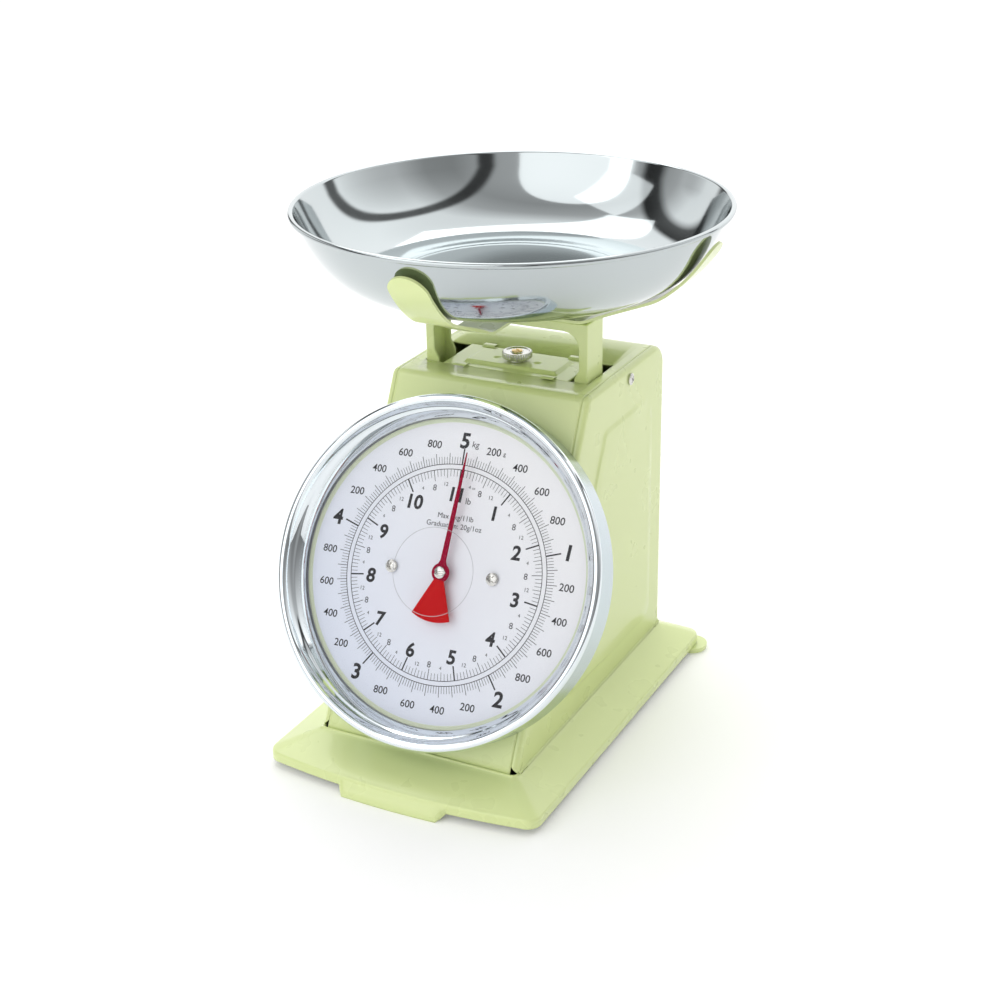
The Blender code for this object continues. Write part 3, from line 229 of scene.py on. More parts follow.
def soften(obj, width, segments=3, angle=35.0):
    bevel = obj.modifiers.new("Edge", "BEVEL")
    bevel.width = width
    bevel.segments = segments
    bevel.limit_method = "ANGLE"
    bevel.angle_limit = radians(angle)
    bevel.harden_normals = True


def smoothstep(t):
    t = np.clip(t, 0.0, 1.0)
    return t * t * (3 - 2 * t)


def bezier(p0, p1, p2, p3, count):
    """Points of a cubic curve: (1-t)^3 p0 + 3(1-t)^2 t p1 + 3(1-t) t^2 p2 + t^3 p3."""
    t = np.linspace(0, 1, count)[:, None]
    p0, p1, p2, p3 = (np.array(p, float) for p in (p0, p1, p2, p3))
    return (1 - t) ** 3 * p0 + 3 * (1 - t) ** 2 * t * p1 + 3 * (1 - t) * t * t * p2 + t ** 3 * p3


def arc(centre, radius, start, end, count=8):
    """Points (r, h) of a circular arc, angles in degrees."""
    a = np.radians(np.linspace(start, end, count))
    return np.stack([centre[0] + radius * np.cos(a), centre[1] + radius * np.sin(a)], 1)


def revolved(name, profile, steps=128, matrix=None, closed=True):
    """The profile (r, h) turned about the axis: x = r cos a, y = r sin a, z = h."""
    profile = np.array(profile, float)
    a = np.linspace(0, 2 * pi, steps, endpoint=False)
    points = surface(profile[:, :1] * np.cos(a), profile[:, :1] * np.sin(a), profile[:, 1:])
    return grid_mesh(name, points, wrap=True, wrap_rows=closed, matrix=matrix)


def smooth_path(points, reach, spacing):
    """Resample a path evenly and average it over a sliding reach, with its ends kept."""
    points = np.array(points, float)
    length = np.concatenate([[0], np.cumsum(np.linalg.norm(np.diff(points, axis=0), axis=1))])
    count = int(length[-1] / spacing) + 1
    even = np.linspace(0, length[-1], count)
    path = np.stack([np.interp(even, length, points[:, k]) for k in range(points.shape[1])], 1)
    half = max(int(reach / spacing / 2), 1)
    padded = np.concatenate([2 * path[:1] - path[half:0:-1], path, 2 * path[-1:] - path[-2:-half - 2:-1]])
    kernel = np.ones(2 * half + 1) / (2 * half + 1)
    return np.stack([np.convolve(padded[:, k], kernel, "valid") for k in range(points.shape[1])], 1)


def rounded_polygon(corners, radii, inset=0.0, arc_steps=10, side_steps=40):
    """An anticlockwise outline with arcs at its corners, offset inwards, as (N, 2) points.

    Every corner gives arc_steps + 1 points and every side side_steps - 1, so that outlines of
    different shapes can be joined point by point.
    """
    corners = np.array(corners, float)
    before = corners - np.roll(corners, 1, axis=0)
    after = np.roll(corners, -1, axis=0) - corners
    before /= np.linalg.norm(before, axis=1)[:, None]
    after /= np.linalg.norm(after, axis=1)[:, None]
    turn = np.arctan2(before[:, 0] * after[:, 1] - before[:, 1] * after[:, 0], (before * after).sum(1))
    reach = np.tan(turn / 2)
    left = np.stack([-before[:, 1], before[:, 0]], 1)
    moved = corners + left * inset - before * (inset * reach)[:, None]
    radius = np.maximum(np.array(radii, float) - inset, 1e-5)
    start = moved - before * (radius * reach)[:, None]
    centre = start + left * radius[:, None]
    first = np.arctan2(-left[:, 1], -left[:, 0])
    angle = first[:, None] + turn[:, None] * np.linspace(0, 1, arc_steps + 1)
    arcs = centre[:, None] + radius[:, None, None] * np.stack([np.cos(angle), np.sin(angle)], -1)
    t = np.linspace(0, 1, side_steps + 1)[1:-1, None]
    ends = np.roll(arcs, -1, axis=0)[:, :1]
    sides = arcs[:, -1:] * (1 - t) + ends * t
    return np.concatenate([arcs, sides], axis=1).reshape(-1, 2)


def refined(name, node, material, body, bevel=0.0, segments=3, angle=35.0):
    """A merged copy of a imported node, with its coplanar triangles joined and its edges softened."""
    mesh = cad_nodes[node].data.copy()
    mesh.name = name
    with edited(mesh) as bm:
        bmesh.ops.remove_doubles(bm, verts=bm.verts, dist=3e-6)
        bmesh.ops.dissolve_limit(bm, angle_limit=radians(0.6), verts=bm.verts, edges=bm.edges)
        bmesh.ops.recalc_face_normals(bm, faces=bm.faces)
    mesh.materials.clear()
    obj = link(mesh, material, body, (node,), sharp=angle)
    if bevel:
        soften(obj, bevel, segments, angle)
    return obj


# === Materials ==================================================================================
def wire(links, *pairs):
    """Join shader nodes, each pair given as (node, output, node, input)."""
    for source, output, target, socket in pairs:
        links.new(source.outputs[output], target.inputs[socket])


def wear_group():
    """Handling marks shared by the finishes: soft mottle, fine grain and a low bump."""
    tree = bpy.data.node_groups.new("surface_marks", "ShaderNodeTree")
    face = tree.interface
    sockets = [("INPUT", "Float", ("Mottle scale", "Grain scale", "Rough low", "Rough high", "Bump")),
               ("INPUT", "Color", ("Base Color A", "Base Color B")),
               ("OUTPUT", "Color", ("Base Color",)),
               ("OUTPUT", "Float", ("Roughness",)),
               ("OUTPUT", "Vector", ("Normal",))]
    for way, kind, names in sockets:
        for name in names:
            face.new_socket(name, in_out=way, socket_type=f"NodeSocket{kind}")
    nodes, links = tree.nodes, tree.links
    given, result = nodes.new("NodeGroupInput"), nodes.new("NodeGroupOutput")
    place = nodes.new("ShaderNodeTexCoord")
    mapping = nodes.new("ShaderNodeMapping")
    links.new(place.outputs["Object"], mapping.inputs["Vector"])
    mottle, grain = nodes.new("ShaderNodeTexNoise"), nodes.new("ShaderNodeTexNoise")
    mottle.inputs["Detail"].default_value = 3.0
    grain.inputs["Detail"].default_value = 2.0
    for texture, scale in ((mottle, "Mottle scale"), (grain, "Grain scale")):
        wire(links, (mapping, "Vector", texture, "Vector"), (given, scale, texture, "Scale"))
    blend = nodes.new("ShaderNodeMix")
    blend.data_type = "RGBA"
    wire(links, (mottle, "Fac", blend, "Factor"), (given, "Base Color A", blend, "A"),
         (given, "Base Color B", blend, "B"), (blend, "Result", result, "Base Color"))
    spread = nodes.new("ShaderNodeMapRange")
    links.new(grain.outputs["Fac"], spread.inputs["Value"])
    spread.inputs["From Min"].default_value = 0.3
    spread.inputs["From Max"].default_value = 0.7
    wire(links, (given, "Rough low", spread, "To Min"), (given, "Rough high", spread, "To Max"),
         (spread, "Result", result, "Roughness"))
    bump = nodes.new("ShaderNodeBump")
    bump.inputs["Distance"].default_value = 0.0002
    wire(links, (given, "Bump", bump, "Strength"), (grain, "Fac", bump, "Height"),
         (bump, "Normal", result, "Normal"))
    return tree


MARKS = wear_group()


def finish_material(name, colour_a, colour_b, rough, metallic=0.0, coat=0.0, bump=0.0,
                    mottle=9.0, grain=900.0, ior=1.5):
    """A Principled surface whose colour, roughness and bump come from the shared marks."""
    material = bpy.data.materials.new(name)
    material.use_nodes = True
    nodes, links = material.node_tree.nodes, material.node_tree.links
    shader = nodes["Principled BSDF"]
    marks = nodes.new("ShaderNodeGroup")
    marks.node_tree = MARKS
    marks.name = "marks"
    given = {"Mottle scale": mottle, "Grain scale": grain, "Bump": bump, "Rough low": rough[0],
             "Rough high": rough[1], "Base Color A": (*colour_a, 1.0), "Base Color B": (*colour_b, 1.0)}
    for socket, value in given.items():
        marks.inputs[socket].default_value = value
    wire(links, (marks, "Base Color", shader, "Base Color"), (marks, "Roughness", shader, "Roughness"))
    if bump:
        links.new(marks.outputs["Normal"], shader.inputs["Normal"])
    shader.inputs["Metallic"].default_value = metallic
    shader.inputs["Coat Weight"].default_value = coat
    shader.inputs["Coat Roughness"].default_value = 0.04
    shader.inputs["IOR"].default_value = ior
    return material


def metal(name, colour_a, colour_b, rough, **marks):
    return finish_material(name, colour_a, colour_b, rough, metallic=1.0, **marks)


CREAM = finish_material("cream_enamel", (0.700, 0.795, 0.350), (0.730, 0.820, 0.380), (0.27, 0.29),
                        coat=0.4, grain=60.0, mottle=7.0)
STEEL = metal("bowl_steel", (0.49, 0.53, 0.54), (0.53, 0.57, 0.58), (0.07, 0.09), grain=120.0)
CHROME = metal("bezel_chrome", (0.76, 0.81, 0.84), (0.80, 0.85, 0.88), (0.03, 0.04), grain=120.0)
# Painted reflection: a darker, bluer copy of the chrome for the bezel's side, standing in for the dim
# surroundings that the side reflects.
CHROME_SIDE_PAINTED_REFLECTION = metal("bezel_side_painted_reflection", (0.48, 0.56, 0.60), (0.54, 0.62, 0.66), (0.16, 0.20), grain=120.0)
NICKEL = metal("nickel", (0.62, 0.62, 0.60), (0.74, 0.73, 0.70), (0.18, 0.26),
               bump=0.05, grain=2500.0, mottle=120.0)
ZINC = metal("zinc_plating", (0.50, 0.52, 0.50), (0.62, 0.62, 0.58), (0.32, 0.45),
             bump=0.1, grain=1500.0, mottle=60.0)
BRASS = metal("turned_brass", (0.62, 0.44, 0.18), (0.76, 0.58, 0.28), (0.22, 0.32),
              bump=0.06, grain=2600.0, mottle=90.0)
SPRING = metal("spring_wire", (0.40, 0.41, 0.43), (0.52, 0.53, 0.55), (0.25, 0.35),
               bump=0.06, grain=3000.0, mottle=80.0)
# These two colours are replaced below by a painted shade ramp, darker and bluer towards the lower left.
WHITE = finish_material("dial_enamel_painted_shade", (0.80, 0.80, 0.93), (0.86, 0.86, 0.96), (0.42, 0.50),
                        grain=300.0, mottle=6.0)
INK = finish_material("black_ink", (0.010, 0.010, 0.014), (0.022, 0.022, 0.028), (0.45, 0.55),
                      bump=0.02, grain=1200.0, mottle=40.0)
RIM_TINT = finish_material("rim_green", (0.70, 0.78, 0.58), (0.76, 0.83, 0.64), (0.40, 0.48),
                           bump=0.02, grain=700.0)
RED = finish_material("pointer_red", (0.56, 0.006, 0.008), (0.62, 0.010, 0.012), (0.45, 0.50),
                      grain=900.0, mottle=40.0, ior=1.15)
CRIMSON = finish_material("needle_crimson", (0.30, 0.003, 0.028), (0.36, 0.006, 0.040), (0.45, 0.50),
                          grain=900.0, mottle=60.0, ior=1.15)
FLOOR = finish_material("pale_floor", (0.93, 0.93, 0.93), (0.95, 0.95, 0.95), (0.55, 0.6),
                        grain=40.0, mottle=2.0)


def shade_dial():
    """Painted shade: the dial's white is darker and bluer towards its lower left, a ramp over x + z that
    feeds both colours.
    """
    nodes, links = WHITE.node_tree.nodes, WHITE.node_tree.links
    place, mapping = nodes.new("ShaderNodeTexCoord"), nodes.new("ShaderNodeMapping")
    mapping.inputs["Location"].default_value = (0.0, 0.0, -0.105)
    split, total = nodes.new("ShaderNodeSeparateXYZ"), nodes.new("ShaderNodeMath")
    spread, blend = nodes.new("ShaderNodeMapRange"), nodes.new("ShaderNodeMix")
    blend.data_type = "RGBA"
    spread.inputs["From Min"].default_value, spread.inputs["From Max"].default_value = -0.10, 0.09
    # Painted shade: end A, at the lower left, is darker and bluer than end B at the upper right.
    blend.inputs["A"].default_value = (0.82, 0.87, 1.0, 1.0)
    blend.inputs["B"].default_value = (0.97, 0.97, 1.0, 1.0)
    wire(links, (place, "Object", mapping, "Vector"), (mapping, "Vector", split, "Vector"),
         (split, "X", total, 0), (split, "Z", total, 1), (total, "Value", spread, "Value"),
         (spread, "Result", blend, "Factor"))
    for socket in ("Base Color A", "Base Color B"):
        links.new(blend.outputs["Result"], nodes["marks"].inputs[socket])


def lens_material():
    """Clear moulded plastic: nearly all alpha, with a faint sheen."""
    material = finish_material("clear_lens", (0.02, 0.02, 0.03), (0.03, 0.03, 0.04), (0.03, 0.06),
                               grain=300.0)
    shader = material.node_tree.nodes["Principled BSDF"]
    shader.inputs["Alpha"].default_value = 0.035
    material.surface_render_method = "BLENDED"
    return material


shade_dial()
LENS = lens_material()
# Painted light: the clear lens's moulded ridge is drawn grey, standing in for the light that the ridge bends
# and reflects.
RING_PAINTED_LIGHT = finish_material("moulded_ring", (0.42, 0.43, 0.47), (0.50, 0.51, 0.55), (0.3, 0.4),
                            bump=0.01, grain=900.0)


def pressing(mesh, node, sheet, body="housing"):
    """A cream sheet-metal piece of even thickness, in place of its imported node."""
    obj = link(mesh, CREAM, body, (node,))
    thicken(obj, sheet)
    return obj


# === Base =======================================================================================
def base_outline(half_w, front_y, back_y, front_bow, back_bow, radius, inset=0.0):
    """Plan outline of the base: straight sides, front and back bowed as 4t(1-t)."""
    corners = [(-half_w, front_y), (half_w, front_y), (half_w, back_y), (-half_w, back_y)]
    outline = rounded_polygon(corners, [radius] * 4, inset, arc_steps=10, side_steps=72)
    x = outline[:, 0]
    half = half_w - radius
    across = np.clip((x + half) / (2 * half), 0, 1)
    bow = 4 * across * (1 - across)
    middle = (front_y + back_y) / 2
    outline[:, 1] -= np.where(outline[:, 1] < middle, front_bow, -back_bow) * bow
    return outline


def build_base():
    """Skirt: height over the plan falls from the fold to the lip, which rolls over and down.

    A row is a mix w of the fold's outline and the lip's outline at height z; along the front the
    lip's lower rows are pulled forward and down over the tongue's width by a steep smooth step.
    """
    fold = base_outline(BODY_HALF_W, FRONT_FOLD_Y, BODY_BACK_Y, FOLD_BOW, FOLD_BOW, FOOT_ROUND,
                        -FOLD_PROUD)
    lip = base_outline(BASE_HALF_W, BASE_FRONT_Y, BASE_BACK_Y, BASE_FRONT_BOW, BASE_BACK_BOW, LIP_CORNER)
    t = np.linspace(0, 1, 22)
    slope_w = t * 0.962
    slope_z = BODY_FOLD_Z - (BODY_FOLD_Z - LIP_TOP_Z) * (0.86 * t + 0.14 * t ** 2)
    turn = np.radians(np.linspace(0, 80, 8))[1:]
    last_w, last_z = slope_w[-1], slope_z[-1]
    turn_w = last_w + (1 - last_w) * np.sin(turn) / sin(turn[-1])
    turn_z = last_z - 1.6 * MM * (1 - np.cos(turn)) / (1 - cos(turn[-1]))
    down_z = np.linspace(turn_z[-1], LIP_BOTTOM_Z, 8)[1:]
    crease_w = np.array([-0.008, 0.0, 0.0, 0.006, 0.022])
    crease_z = BODY_FOLD_Z + np.array([1.5, 1.4, 0.9, 0.45, 0.1]) * MM
    w = np.concatenate([crease_w, slope_w[2:], turn_w, np.ones(len(down_z))])
    z = np.concatenate([crease_z, slope_z[2:], turn_z, down_z])
    points = np.empty((len(w), len(fold), 3))
    points[..., :2] = fold * (1 - w[:, None, None]) + lip * w[:, None, None]
    points[..., 2] = z[:, None]
    front = points[..., 1] < BASE_FRONT_Y + 6 * MM
    over = smoothstep((TONGUE_HALF_W + 3 * MM - np.abs(points[..., 0])) / (4 * MM)) * front
    pulled = smoothstep((LIP_TOP_Z - 1.2 * MM - points[..., 2]) / (3.6 * MM)) * over
    points[..., 1] -= TONGUE_REACH * pulled
    drop = np.clip((LIP_TOP_Z - 1.4 * MM - points[..., 2]) / (LIP_TOP_Z - 1.4 * MM - LIP_BOTTOM_Z), 0, 1)
    points[..., 2] -= LIP_BOTTOM_Z * drop ** 2 * over
    mesh = outward(grid_mesh("base_skirt_pressing", points, wrap=True), (0, 0, -0.2))
    pressing(mesh, "base_skirt", BASE_SHEET)

    for side, end in SIDES:
        edge = arc((REAR_FOOT_R - REAR_FOOT_ROUND, REAR_FOOT_ROUND), REAR_FOOT_ROUND, -90, 0)
        profile = np.concatenate([[(0, 0)], edge, [(REAR_FOOT_R, FOOT_HIGH.z), (0, FOOT_HIGH.z)]])
        centre_x = side * (FOOT_LOW.x + FOOT_HIGH.x) / 2
        place = at(centre_x, (FOOT_LOW.y + FOOT_HIGH.y) / 2)
        mesh = revolved(f"rear_foot_{end}_round", profile, 64, place)
        link(mesh, CREAM, "housing", (f"rear_foot_{end}",))


# === Housing ====================================================================================
SIDE_CORNERS = [(FRONT_FOLD_Y, BODY_FOLD_Z + GAP), (BODY_BACK_Y, BODY_FOLD_Z + GAP),
                (BODY_BACK_Y, BODY_TOP_Z), (FRONT_TOP_Y, BODY_TOP_Z)]
SIDE_RADII = [FOOT_ROUND, FOOT_ROUND, TOP_BACK_ROUND, TOP_FRONT_ROUND]


def build_cover():
    """Front, top and back as one strip: the side's open outline carried across x.

    The slot's edges are rows and columns of the grid, and the quads between them are left out.
    """
    outline = rounded_polygon(SIDE_CORNERS, [1e-5, 1e-5, TOP_BACK_ROUND, TOP_FRONT_ROUND], 0.0, 12, 40)
    back_foot = 60                       # the strip starts at the foot of the back wall
    path = outline[back_foot:]
    path = np.concatenate([path, outline[:1]])
    top = path[:, 1] > BODY_TOP_Z - 1e-6
    first, last = np.flatnonzero(top)[[0, -1]]
    stations = np.array([SLOT_BACK_Y, (SLOT_BACK_Y + SLOT_FRONT_Y) / 2, SLOT_FRONT_Y])
    flat = np.stack([stations, np.full(3, BODY_TOP_Z)], 1)
    path = np.concatenate([path[:first + 1], flat, path[last:]])
    half = COVER_HALF_W - COVER_INSET
    x = np.concatenate([np.linspace(-half, -SLOT_HALF_W, 5), np.linspace(-SLOT_HALF_W, SLOT_HALF_W, 31)[1:],
                        np.linspace(SLOT_HALF_W, half, 5)[1:]])
    mesh = grid_mesh("centre_cover_pressing", surface(x, path[:, :1], path[:, 1:]))
    with edited(mesh) as bm:
        middles = [(face, face.calc_center_median()) for face in bm.faces]
        inside = [face for face, middle in middles if abs(middle.x) < SLOT_HALF_W
                  and SLOT_FRONT_Y < middle.y < SLOT_BACK_Y and middle.z > BODY_TOP_Z - MM]
        bmesh.ops.delete(bm, geom=inside, context="FACES")
    outward(mesh, (0, 0.03, 0.1))
    obj = pressing(mesh, "centre_cover", SHEET)
    plug = [(0, -13 * MM), (APERTURE_R, -13 * MM), (APERTURE_R, -2 * MM), (0, -2 * MM)]
    cutter = revolved("aperture_cutter", plug, 64, DIAL)
    guide = put_in_scene("aperture_cutter", cutter)
    guide.hide_render = True
    guide.display_type = "WIRE"
    cut = obj.modifiers.new("Aperture", "BOOLEAN")
    cut.operation = "DIFFERENCE"
    cut.object = guide


def build_side_panels():
    """Pressed trays: rings that blend from the rounded rim to a raised field.

    Row by row: down the rim's quarter round, across the flat border, up a smoothstep bevel of
    height A (it fades at the upper back corner) and on to the middle of the field.
    """
    slant = (FRONT_TOP_Y - FRONT_FOLD_Y) / (BODY_TOP_Z - BODY_FOLD_Z)
    foot_y = FIELD_FRONT_Y - slant * (FIELD_TOP_Z - FIELD_FOOT_Z) + 6 * MM
    corners = [(foot_y, FIELD_FOOT_Z), (FIELD_BACK_Y, FIELD_FOOT_Z), (FIELD_BACK_Y, FIELD_TOP_Z),
               (FIELD_FRONT_Y, FIELD_TOP_Z)]
    field = rounded_polygon(corners, FIELD_RADII)
    count = len(field)
    near = np.hypot(field[:, 0] - FIELD_BACK_Y, field[:, 1] - FIELD_TOP_Z)
    height = FIELD_RISE * smoothstep(near / (34 * MM))
    front = smoothstep((30 * MM - field[:, 0]) / (60 * MM)) + smoothstep((field[:, 1] - 150 * MM) / (15 * MM))
    width = 1.2 * MM + 2.6 * MM * np.clip(front, 0, 1)
    inner = rounded_polygon(corners, FIELD_RADII, 1.0 * MM) - field
    inner *= (width / MM)[:, None]
    rows = []
    for angle in np.radians(np.linspace(-10, 90, 10)):
        inset = PANEL_ROUND * (1 - cos(angle))
        ring = rounded_polygon(SIDE_CORNERS, SIDE_RADII, inset)
        upper = smoothstep((rounded_polygon(SIDE_CORNERS, SIDE_RADII)[:, 1] - BODY_FOLD_Z - GAP) / (5 * MM))
        rows.append(np.column_stack([BODY_HALF_W - PANEL_ROUND * (1 - sin(angle)) * upper, ring]))
    rim = rows[-1][:, 1:]
    for t in np.linspace(0, 1, 8)[1:]:
        rows.append(np.column_stack([np.full(count, BODY_HALF_W), rim * (1 - t) + field * t]))
    for t in np.linspace(0, 1, 9)[1:]:
        rows.append(np.column_stack([BODY_HALF_W + height * smoothstep(t), field + inner * t]))
    middle = np.array([35 * MM, 95 * MM])
    for t in np.linspace(0, 1, 9)[1:]:
        lift = BODY_HALF_W + height + (FIELD_RISE - height) * smoothstep(t * 3)
        rows.append(np.column_stack([lift, (field + inner) * (1 - t) + middle * t]))
    points = np.array(rows)
    for side, end in SIDES:
        placed = points * np.array([side, 1, 1])
        mesh = outward(grid_mesh(f"side_panel_{end}_pressing", placed, wrap=True), (0, 0.02, 0.1))
        pressing(mesh, f"side_panel_{end}", SHEET)


def cross_head(name, radius, height, matrix, material, body, replaced, recess="cross",
               turn=0.0, dome=0.55, shank=None):
    """A screw head as h(r, a): a domed disc less a cross or a slot, down to its seat.

    h = height (1 - dome (r/R)^2), lowered to the recess floor where a point lies within the
    recess's half width, over a smooth wall.
    """
    r = np.concatenate([np.linspace(0, 0.97, 26), [1.0, 1.0]]) * radius
    a = np.linspace(0, 2 * pi, 96, endpoint=False)
    x, y = r[:, None] * np.cos(a + turn), r[:, None] * np.sin(a + turn)
    top = height * (1 - dome * (r[:, None] / radius) ** 2) + 0 * a
    half = 0.13 * radius
    wall = 0.07 * radius
    arm_x = smoothstep((half + wall - np.abs(y)) / wall)
    arm_y = smoothstep((half + wall - np.abs(x)) / wall)
    if recess == "cross":
        inside = smoothstep((0.62 * radius - np.hypot(x, y)) / (0.12 * radius))
        sunk = np.maximum(arm_x, arm_y) * inside
    else:
        sunk = arm_x
    top = top - 0.5 * height * sunk
    points = surface(r[:, None] * np.cos(a), r[:, None] * np.sin(a), top)
    points[-1, :, 2] = 0.0
    below = [(radius, 0.0)]
    if shank:
        below += [(shank[0], 0.0), (shank[0], -shank[1])]
    below.append((0.0, below[-1][1]))
    below = np.array(below)
    tail = surface(below[:, :1] * np.cos(a), below[:, :1] * np.sin(a), below[:, 1:])
    mesh = grid_mesh(name, np.concatenate([points, tail]), wrap=True, matrix=matrix)
    return link(mesh, material, body, replaced, sharp=32.0)


def build_side_screws():
    for side, end in SIDES:
        place = at(side * (BODY_HALF_W + GAP), 41 * MM, BODY_TOP_Z - 6.6 * MM)
        place = place @ Matrix.Rotation(side * pi / 2, 4, "Y")
        cross_head(f"side_screw_{end}_head", 3.2 * MM, 1.5 * MM, place, NICKEL, "housing",
                   (f"side_screw_{end}",), turn=0.5, shank=(2.0 * MM, 6 * MM))


def build_hanger_plate():
    """Height over the plate: a flat sheet with a raised field and two shallow dimples."""
    low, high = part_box("hanger_plate")
    half_w = high.x
    front, back = SLOT_FRONT_Y + GAP, SLOT_BACK_Y - GAP
    x = np.linspace(-half_w, half_w, 121)
    y = np.linspace(front, back, 81)
    gx, gy = np.meshgrid(x, y)
    edge = np.minimum(28 * MM - np.abs(gx), np.minimum(gy - front - 5 * MM, back - 5 * MM - gy))
    z = BODY_TOP_Z + 1.5 * MM * smoothstep(edge / (2 * MM))
    for place in (-12 * MM, 12 * MM):
        away = np.hypot(gx - place, gy - 22.5 * MM)
        z -= 0.7 * MM * smoothstep((2.6 * MM - away) / (1.6 * MM))
    points = np.stack([gx, gy, z], -1)
    mesh = outward(grid_mesh("hanger_plate_pressing", points), (0, 0.02, 0))
    pressing(mesh, "hanger_plate", 1.4 * MM)

    for i, x0 in enumerate((-26 * MM, 26 * MM)):
        for j, (edge_y, sign) in enumerate(((front, -1), (back, 1))):
            path = np.array([(-2.2, 0.0), (-1.2, 0.75), (0.4, 0.85), (2.4, 0.8), (3.1, 0.35), (3.1, 0.3)])
            rows = np.linspace(-3.6 * MM, 3.6 * MM, 9)
            points = surface(x0 + rows[:, None], edge_y + sign * path[:, 0] * MM,
                             BODY_TOP_Z + GAP + path[:, 1] * MM)
            mesh = outward(grid_mesh(f"hanger_tab_{i}{j}", points), (x0, edge_y, 0))
            obj = link(mesh, CREAM, "housing")
            thicken(obj, 0.25 * MM, 0.08 * MM)


# === Bowl, bracket and yoke =====================================================================
def build_bowl():
    """Polished dish: the wall's curve with an even offset for its inside, and a rolled lip."""
    neck = BOWL_R - 2.4 * MM
    wall = bezier((BOWL_FLAT_R, BOWL_FLOOR_Z), (BOWL_FLAT_R + 8.5 * MM, BOWL_FLOOR_Z),
                  (neck - 15.4 * MM, BOWL_FLOOR_Z - 3.1 * MM), (neck, BOWL_RIM_Z - 1.3 * MM), 56)
    along = np.gradient(wall, axis=0)
    along /= np.linalg.norm(along, axis=1)[:, None]
    inside = wall + np.stack([-along[:, 1], along[:, 0]], 1) * BOWL_WALL
    floor_r = np.array([0, 20, 40, 56, 60, 61.2, 62.4, 63.6, 64.4]) * MM
    step = 0.45 * MM * smoothstep((floor_r - 60 * MM) / (3.6 * MM))
    bottom = np.stack([floor_r, BOWL_FLOOR_Z + 0.45 * MM - step], 1)
    inner_floor = bottom + np.array([0, BOWL_WALL])
    lip = arc((BOWL_R - 1.5 * MM, BOWL_RIM_Z - 1.5 * MM), 1.5 * MM, -75, 165, 18)
    profile = np.concatenate([bottom, wall[:-1], lip, inside[-3::-1], inner_floor[::-1]])
    place = at(0, AXIS_Y)
    mesh = revolved("bowl_dish", profile, 224, place)
    link(mesh, STEEL, "bowl", ("bowl",), sharp=50.0)


def build_bracket():
    """Four-armed spider: one eighth as a grid (distance along the arm, share of the half width).

    Half width: the diagonal, then a circular fillet, then the arm, then a round end.  The arm's
    path (r, z) is smoothed, and the eighth is mirrored and turned to make the whole.
    """
    half, fillet = 11 * MM, 12 * MM
    bend, rise, tip_r = 45 * MM, BOWL_R * 8 / 11, BOWL_R - MM
    rise_z, tip_z = BOWL_FLOOR_Z - 1.2 * MM, BOWL_RIM_Z - 9.9 * MM
    curve = bezier((rise, rise_z), (rise + 10.8 * MM, rise_z + 5.3 * MM),
                   (tip_r - 6.1 * MM, tip_z - 12.6 * MM), (tip_r, tip_z), 30)
    hub = [(0, BRACKET_Z), (bend, BRACKET_Z), (bend + 13 * MM, BRACKET_Z + 5.77 * MM)]
    path = smooth_path(np.concatenate([hub, curve]), 7 * MM, 0.5 * MM)
    length = np.concatenate([[0], np.cumsum(np.linalg.norm(np.diff(path, axis=0), axis=1))])
    end = length[-1]
    inner = half + fillet
    meet = inner - fillet / sqrt(2)
    tip = end - half + half * np.sin(np.linspace(0, pi / 2, 16))
    place = np.concatenate([np.linspace(0, meet, 14), np.linspace(meet, inner, 18)[1:],
                            np.linspace(inner, end - half, 60)[1:-1], tip])
    r, z = np.interp(place, length, path[:, 0]), np.interp(place, length, path[:, 1])
    width = np.where(place < meet, place, half)
    curved = (place >= meet) & (place < inner)
    width[curved] = inner - np.sqrt(np.maximum(fillet ** 2 - (inner - place[curved]) ** 2, 0))
    round_end = place > end - half
    width[round_end] = np.sqrt(np.maximum(half ** 2 - (place[round_end] - end + half) ** 2, 0))
    share = np.linspace(0, 1, 9)
    eighth = surface(r[:, None], width[:, None] * share, z[:, None])
    wedges = []
    for quarter in range(4):
        c, s = round(cos(quarter * pi / 2)), round(sin(quarter * pi / 2))
        for flip in (1, -1):
            x, y = eighth[..., 0], eighth[..., 1] * flip
            wedges.append(np.stack([c * x - s * y, s * x + c * y + AXIS_Y, eighth[..., 2]], -1))
    index = np.arange(eighth[..., 0].size).reshape(eighth.shape[:2])
    quads = grid_quads(index)
    faces = np.concatenate([quads + i * index.size for i in range(len(wedges))])
    mesh = bpy.data.meshes.new("bowl_bracket_pressing")
    mesh.from_pydata(np.array(wedges).reshape(-1, 3).tolist(), [], faces.tolist())
    mesh = outward(clean(mesh, 2e-5), (0, AXIS_Y, 1.0))
    obj = pressing(mesh, "bowl_bracket", BRACKET_SHEET, "platform")
    obj.modifiers["Sheet"].use_even_offset = True
    soften(obj, 0.45 * MM, 3, 50.0)
    place = at(0, AXIS_Y, BRACKET_Z + BRACKET_SHEET + GAP)
    cross_head("bracket_screw_head", 4.2 * MM, 1.9 * MM, place, NICKEL, "platform",
               ("bracket_screw",), turn=0.3, shank=(2.0 * MM, 1.5 * MM))


def build_yoke():
    refined("yoke_channel", "yoke", CREAM, "platform", 0.7 * MM, 4, 30.0)


